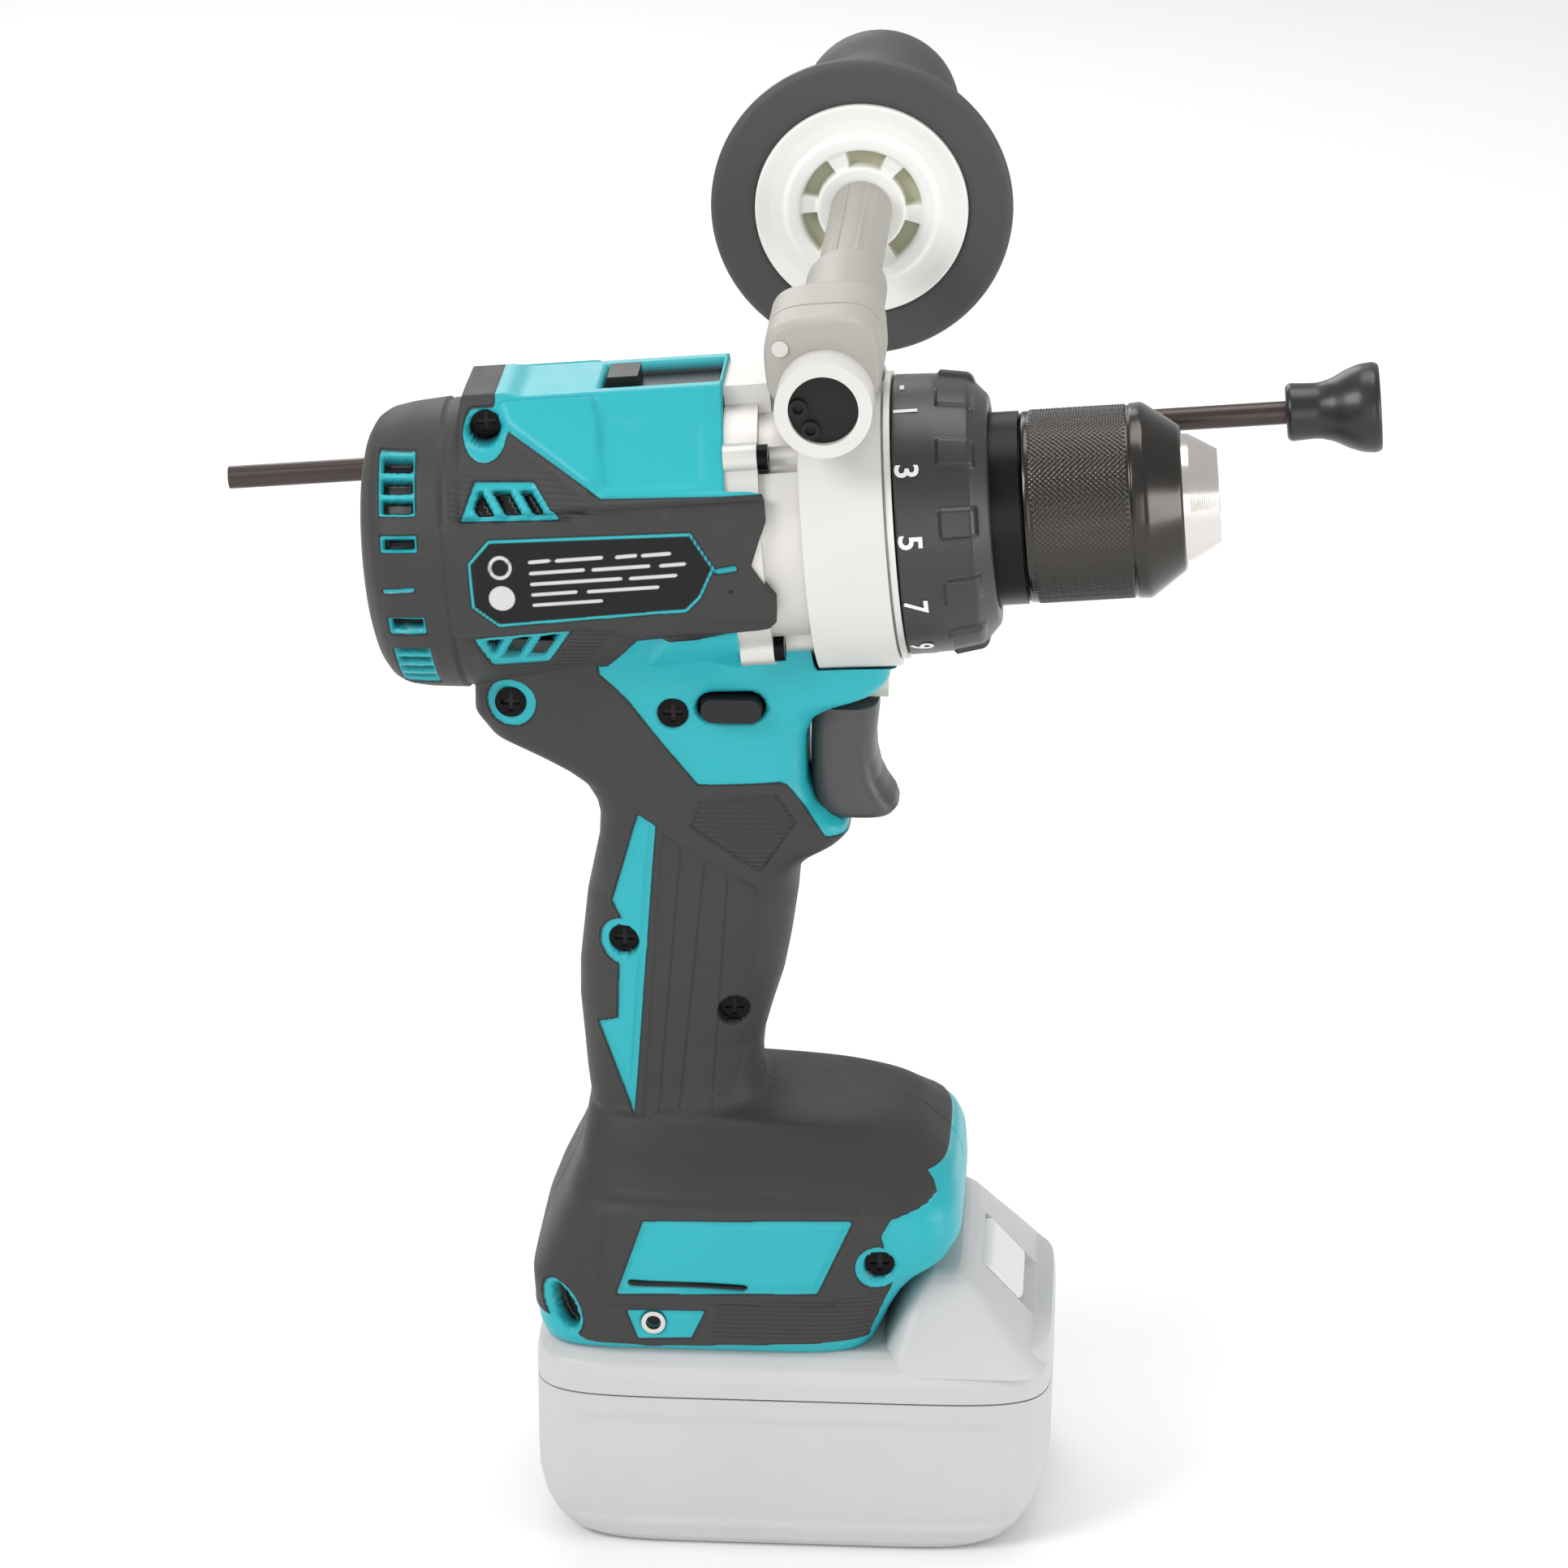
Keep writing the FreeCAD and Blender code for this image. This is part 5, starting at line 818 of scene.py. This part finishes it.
# ---------------------------------------------------------------- finishes for carried-over nodes
def paint(obj, material):
    """Put one material on every face of an object."""
    obj.data.materials.clear()
    obj.data.materials.append(material)


def dress(nodes, material):
    """Give CAD nodes a finish."""
    for name in nodes:
        paint(frame["nodes"][name], material)


COLLAR_END = 78.0


def chuck_finish():
    """Chuck body: black collar behind, bright turned steel nose in front, split at a place along the axis."""
    material, tree, shader, place = new_finish("ChuckSteel", Metallic=1.0)
    axis = add(tree, "ShaderNodeVectorMath", {0: place, 1: tuple(AHEAD)}, operation="DOT_PRODUCT").outputs["Value"]
    split = (float(np.dot(HEAD, AHEAD)) + COLLAR_END) * 0.001
    nose = maths(tree, "GREATER_THAN", axis, split)
    bands = turned_bands(tree, place, 700.0, Distortion=1.0)
    slow = speckle(tree, place, 90.0)
    steel = blend_colour(tree, slow, (0.62, 0.585, 0.55, 1), (0.78, 0.75, 0.72, 1))
    tone = blend_colour(tree, nose, (0.02, 0.02, 0.021, 1), steel)
    gloss = add(tree, "ShaderNodeMix", {0: nose, 2: spread(tree, slow, 0.3, 0.42), 3: spread(tree, slow, 0.14, 0.24)})
    join(tree, shader, tone, gloss, bands, 0.2, 0.00001)
    return material


def hub_finish():
    """White nylon hub whose sunk windows show a faint olive tint."""
    material, tree, shader, place = new_finish("HubNylon", Specular_IOR_Level=0.5)
    slow = speckle(tree, place, 30.0)
    white = blend_colour(tree, slow, (0.80, 0.80, 0.77, 1), (0.86, 0.86, 0.83, 1))
    olive = mask(tree, field(tree, "window"), 0.25)
    tone = blend_colour(tree, olive, white, (0.50, 0.50, 0.36, 1))
    gloss = spread(tree, speckle(tree, place, 140.0), 0.34, 0.46)
    join(tree, shader, tone, gloss, speckle(tree, place, 2000.0, 2.0), 0.3, 0.00002)
    return material


# ---------------------------------------------------------------- operators
class DRILL_OT_housing(bpy.types.Operator):
    """Build the housing's skins and give them their two-material finish"""

    bl_idname = "drill.housing"
    bl_label = "Housing"

    def execute(self, context):
        finish = housing_finish(context.scene.drill_colours)
        for side, tag in ((1, "left"), (-1, "right")):
            low, high = lower_half(side), barrel_half(side)
            for obj in (low, high):
                paint(obj, finish)
                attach(obj, "housing")
            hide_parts("housing_" + tag, "grip_cover_" + tag)
        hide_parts("rear_cover", "side_plates")
        return {"FINISHED"}


class DRILL_OT_dial(bpy.types.Operator):
    """Build the torque ring and its numbers"""

    bl_idname = "drill.dial"
    bl_label = "Torque ring"

    def execute(self, context):
        ring = torque_dial()
        paint(ring, moulded("DialBlack", (0.026, 0.0255, 0.025), (0.3, 0.42), grain=3000.0))
        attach(ring, "torque_dial")
        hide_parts("torque_ring")
        ink = moulded("PaintWhite", (0.78, 0.78, 0.76), (0.4, 0.5), drift=0.03)
        for number in torque_numbers():
            paint(number, ink)
            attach(number, "torque_dial")
        return {"FINISHED"}


class DRILL_OT_chuck(bpy.types.Operator):
    """Build the knurled sleeve and finish the chuck"""

    bl_idname = "drill.chuck"
    bl_label = "Chuck"

    def execute(self, context):
        sleeve = chuck_grip_sleeve()
        paint(sleeve, machined("ChuckBlack", (0.062, 0.058, 0.054), (0.17, 0.25)))
        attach(sleeve, "sleeve")
        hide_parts("chuck_sleeve")
        dress(["chuck_body"], chuck_finish())
        dress(["chuck_jaw_1", "chuck_jaw_2", "chuck_jaw_3"], machined("JawSteel", (0.35, 0.34, 0.33), (0.22, 0.34)))
        return {"FINISHED"}


class DRILL_OT_side_handle(bpy.types.Operator):
    """Build the side handle's hub and rubber and finish its clamp"""

    bl_idname = "drill.side_handle"
    bl_label = "Side handle"

    def execute(self, context):
        colours = context.scene.drill_colours
        hub, rubber, arm = handle_hub(), rubber_handle(), clamp_arm()
        paint(hub, hub_finish())
        paint(rubber, moulded("HandleRubberGrey", (0.060, 0.057, 0.057), (0.5, 0.64), grain=1800.0, depth=0.00006))
        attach(hub, "side_grip")
        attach(rubber, "side_grip")
        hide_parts("handle_hub")
        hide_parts("handle_grip")
        dress(["clamp_band"], moulded("BandPaint", colours.band, (0.36, 0.48), grain=900.0, depth=0.00002))
        paint(arm, moulded("BlockNylon", colours.block, (0.42, 0.54), grain=1400.0, depth=0.00004))
        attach(arm, "side_clamp")
        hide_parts("clamp_block")
        dress(["bolt_plug"], moulded("PlugBlack", (0.010, 0.010, 0.011), (0.3, 0.42), Specular_IOR_Level=0.22))
        dress(["clamp_pin"], machined("PinSteel", (0.6, 0.58, 0.55), (0.25, 0.36)))
        dress(["depth_rod", "tie_bolt"], machined("RodSteel", (0.075, 0.062, 0.058), (0.3, 0.42)))
        bell = tip_bell()
        paint(bell, moulded("TipRubber", (0.012, 0.012, 0.012), (0.26, 0.38), grain=1500.0, depth=0.00005))
        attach(bell, "depth_stop")
        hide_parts("rod_tip")
        return {"FINISHED"}


INNER_METAL = ["stator_core", "rotor_core", "motor_shaft", "motor_bearings", "spindle_bearings", "ring_gears",
               "carrier_first", "planet_first_a", "planet_first_b", "planet_first_c", "planet_second_a",
               "planet_second_b", "planet_second_c", "spindle", "clutch_spring", "trigger_spring"]


class DRILL_OT_finishes(bpy.types.Operator):
    """Give every other carried-over node its finish"""

    bl_idname = "drill.finishes"
    bl_label = "Finishes"

    def execute(self, context):
        colours = context.scene.drill_colours
        dress(["gear_case"], cast_metal("GearCaseCasting", colours.cast))
        dress(["index_ring"], cast_metal("IndexRingMetal", (0.72, 0.71, 0.69)))
        black = moulded("BlackNylon", (0.014, 0.014, 0.015), (0.34, 0.46), Specular_IOR_Level=0.25)
        dress(["slide_plate", "speed_lever", "direction_button", "terminal_block", "position_board"], black)
        blade = trigger_blade()
        paint(blade, moulded("TriggerNylon", (0.052, 0.051, 0.050), (0.34, 0.46), grain=2200.0))
        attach(blade, "trigger_lever")
        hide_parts("trigger")
        dress(["housing_screws", "gear_case_screws"],
              machined("ScrewBlack", (0.012, 0.012, 0.012), (0.2, 0.32), rings=300.0))
        dress(["hook_inserts"], machined("InsertSteel", (0.62, 0.60, 0.56), (0.2, 0.3)))
        dress(["work_light"], moulded("LensClear", (0.75, 0.74, 0.66), (0.08, 0.15), depth=0.00001,
                                      Transmission_Weight=0.35))
        pack = moulded("PackShell", colours.pack, (0.36, 0.48), grain=2000.0)
        shapes = [(boxy("PackCase", CASE, 7.0, 400, side_panel), ["pack_case", "pack_screws"]),
                  (boxy("PackLid", LID, 7.0, 320), ["pack_lid"]),
                  (boxy("PackHump", HUMP, 7.0, 600, catch_pocket), [])]
        for shape, nodes in shapes:
            paint(shape, pack)
            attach(shape, "battery")
            if nodes:
                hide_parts(*nodes)
        catch = boxy("PackCatch", CATCH, 9.0, 240)
        paint(catch, moulded("CatchPale", (0.72, 0.72, 0.72), (0.34, 0.44)))
        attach(catch, "battery_catch")
        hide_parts("pack_catch")
        dress(["stator_coils"], machined("CopperWire", (0.72, 0.33, 0.16), (0.28, 0.4)))
        dress(["control_board", "cell_board"], moulded("BoardGreen", (0.02, 0.16, 0.06), (0.3, 0.4)))
        dress(["pack_cells"], moulded("CellWrap", (0.05, 0.22, 0.42), (0.3, 0.4)))
        dress(["inner_leads"], moulded("LeadBlack", (0.02, 0.02, 0.02), (0.4, 0.5)))
        dress(["switch_unit", "cooling_fan"], moulded("InnerBlack", (0.02, 0.02, 0.022), (0.36, 0.5)))
        dress(INNER_METAL, machined("InnerSteel", (0.42, 0.41, 0.40), (0.25, 0.4)))
        return {"FINISHED"}


# Lamps: name, place and size in metres, power in watts.
LIGHTS = [("Key", (-1.1, -0.9, 1.25), 0.7, 15.0), ("Front", (0.3, -1.7, 0.45), 1.0, 6.0),
          ("Top", (0.1, 0.3, 1.6), 0.9, 9.0), ("Nose", (1.5, -0.35, 0.3), 0.7, 8.0),
          ("Back", (-0.5, 1.3, 0.9), 0.8, 5.0)]
LIGHT_AIM, CAMERA_AIM = np.array([0.0, 0.0, 0.17]), np.array([-0.0036, 0.0, 0.1655])
CAMERA_TURN, CAMERA_LIFT, CAMERA_AWAY = math.radians(3.6), math.radians(21.0), 1.2


class DRILL_OT_stage(bpy.types.Operator):
    """Set the pale floor, the soft studio light and the camera"""

    bl_idname = "drill.stage"
    bl_label = "Stage"

    def execute(self, context):
        scene = context.scene
        reach = np.linspace(-3000, 3000, 3)
        floor = make_piece("Floor", upright(reach[:, None], reach[None, :], np.full((3, 3), -0.2)), False, False)
        face_outwards(floor, (0, 0, -1000))
        paint(floor, moulded("FloorPale", (0.90, 0.90, 0.90), (0.75, 0.85), grain=20.0, depth=0.0, drift=0.01))
        world = bpy.data.worlds.new("Studio")
        world.use_nodes = True
        background = world.node_tree.nodes["Background"]
        background.inputs[0].default_value, background.inputs[1].default_value = (1.0, 1.0, 1.0, 1.0), 0.62
        scene.world = world
        scene.view_settings.view_transform = "Standard"
        for name, spot, size, power in LIGHTS:
            lamp = bpy.data.lights.new(name, "AREA")
            lamp.size, lamp.energy = size, power
            holder = bpy.data.objects.new(name, lamp)
            holder.location = spot
            direction = LIGHT_AIM - np.array(spot)
            holder.rotation_euler = (math.acos(direction[2] / np.linalg.norm(direction)) + math.pi, 0.0,
                                     math.atan2(direction[1], direction[0]) + math.pi / 2)
            scene.collection.objects.link(holder)
        camera = bpy.data.cameras.new("Camera")
        camera.lens, camera.sensor_width = 128.46, 36.0
        holder = bpy.data.objects.new("Camera", camera)
        level = math.cos(CAMERA_LIFT)
        back = np.array([math.sin(CAMERA_TURN) * level, -math.cos(CAMERA_TURN) * level, math.sin(CAMERA_LIFT)])
        holder.location = CAMERA_AIM + back * CAMERA_AWAY
        holder.rotation_euler = (math.pi / 2 - CAMERA_LIFT, 0.0, CAMERA_TURN)
        camera.clip_start, camera.clip_end = 0.05, 50.0
        scene.collection.objects.link(holder)
        scene.camera = holder
        return {"FINISHED"}


class DRILL_PT_panel(bpy.types.Panel):
    """The drill's pieces and sizes in the 3D view's sidebar"""

    bl_label = "Cordless Drill"
    bl_idname = "DRILL_PT_panel"
    bl_space_type = "VIEW_3D"
    bl_region_type = "UI"
    bl_category = "Drill"

    def draw(self, context):
        for operator in OPERATORS:
            self.layout.operator(operator.bl_idname)
        for group in (context.scene.drill_sizes, context.scene.drill_colours):
            for name in group.__annotations__:
                self.layout.prop(group, name)


OPERATORS = (DRILL_OT_housing, DRILL_OT_dial, DRILL_OT_chuck, DRILL_OT_side_handle, DRILL_OT_finishes, DRILL_OT_stage)
CLASSES = (DrillSizes, DrillColours, *OPERATORS, DRILL_PT_panel)


def register():
    """Register the classes and hang the settings on the scene."""
    for item in CLASSES:
        bpy.utils.register_class(item)
    bpy.types.Scene.drill_sizes = PointerProperty(type=DrillSizes)
    bpy.types.Scene.drill_colours = PointerProperty(type=DrillColours)


def unregister():
    """Take the settings and classes away again."""
    del bpy.types.Scene.drill_sizes
    del bpy.types.Scene.drill_colours
    for item in reversed(CLASSES):
        bpy.utils.unregister_class(item)


def main():
    """Build every piece in order."""
    register()
    for operator in OPERATORS:
        getattr(bpy.ops.drill, operator.bl_idname.split(".")[1])()


if __name__ == "__main__":
    main()
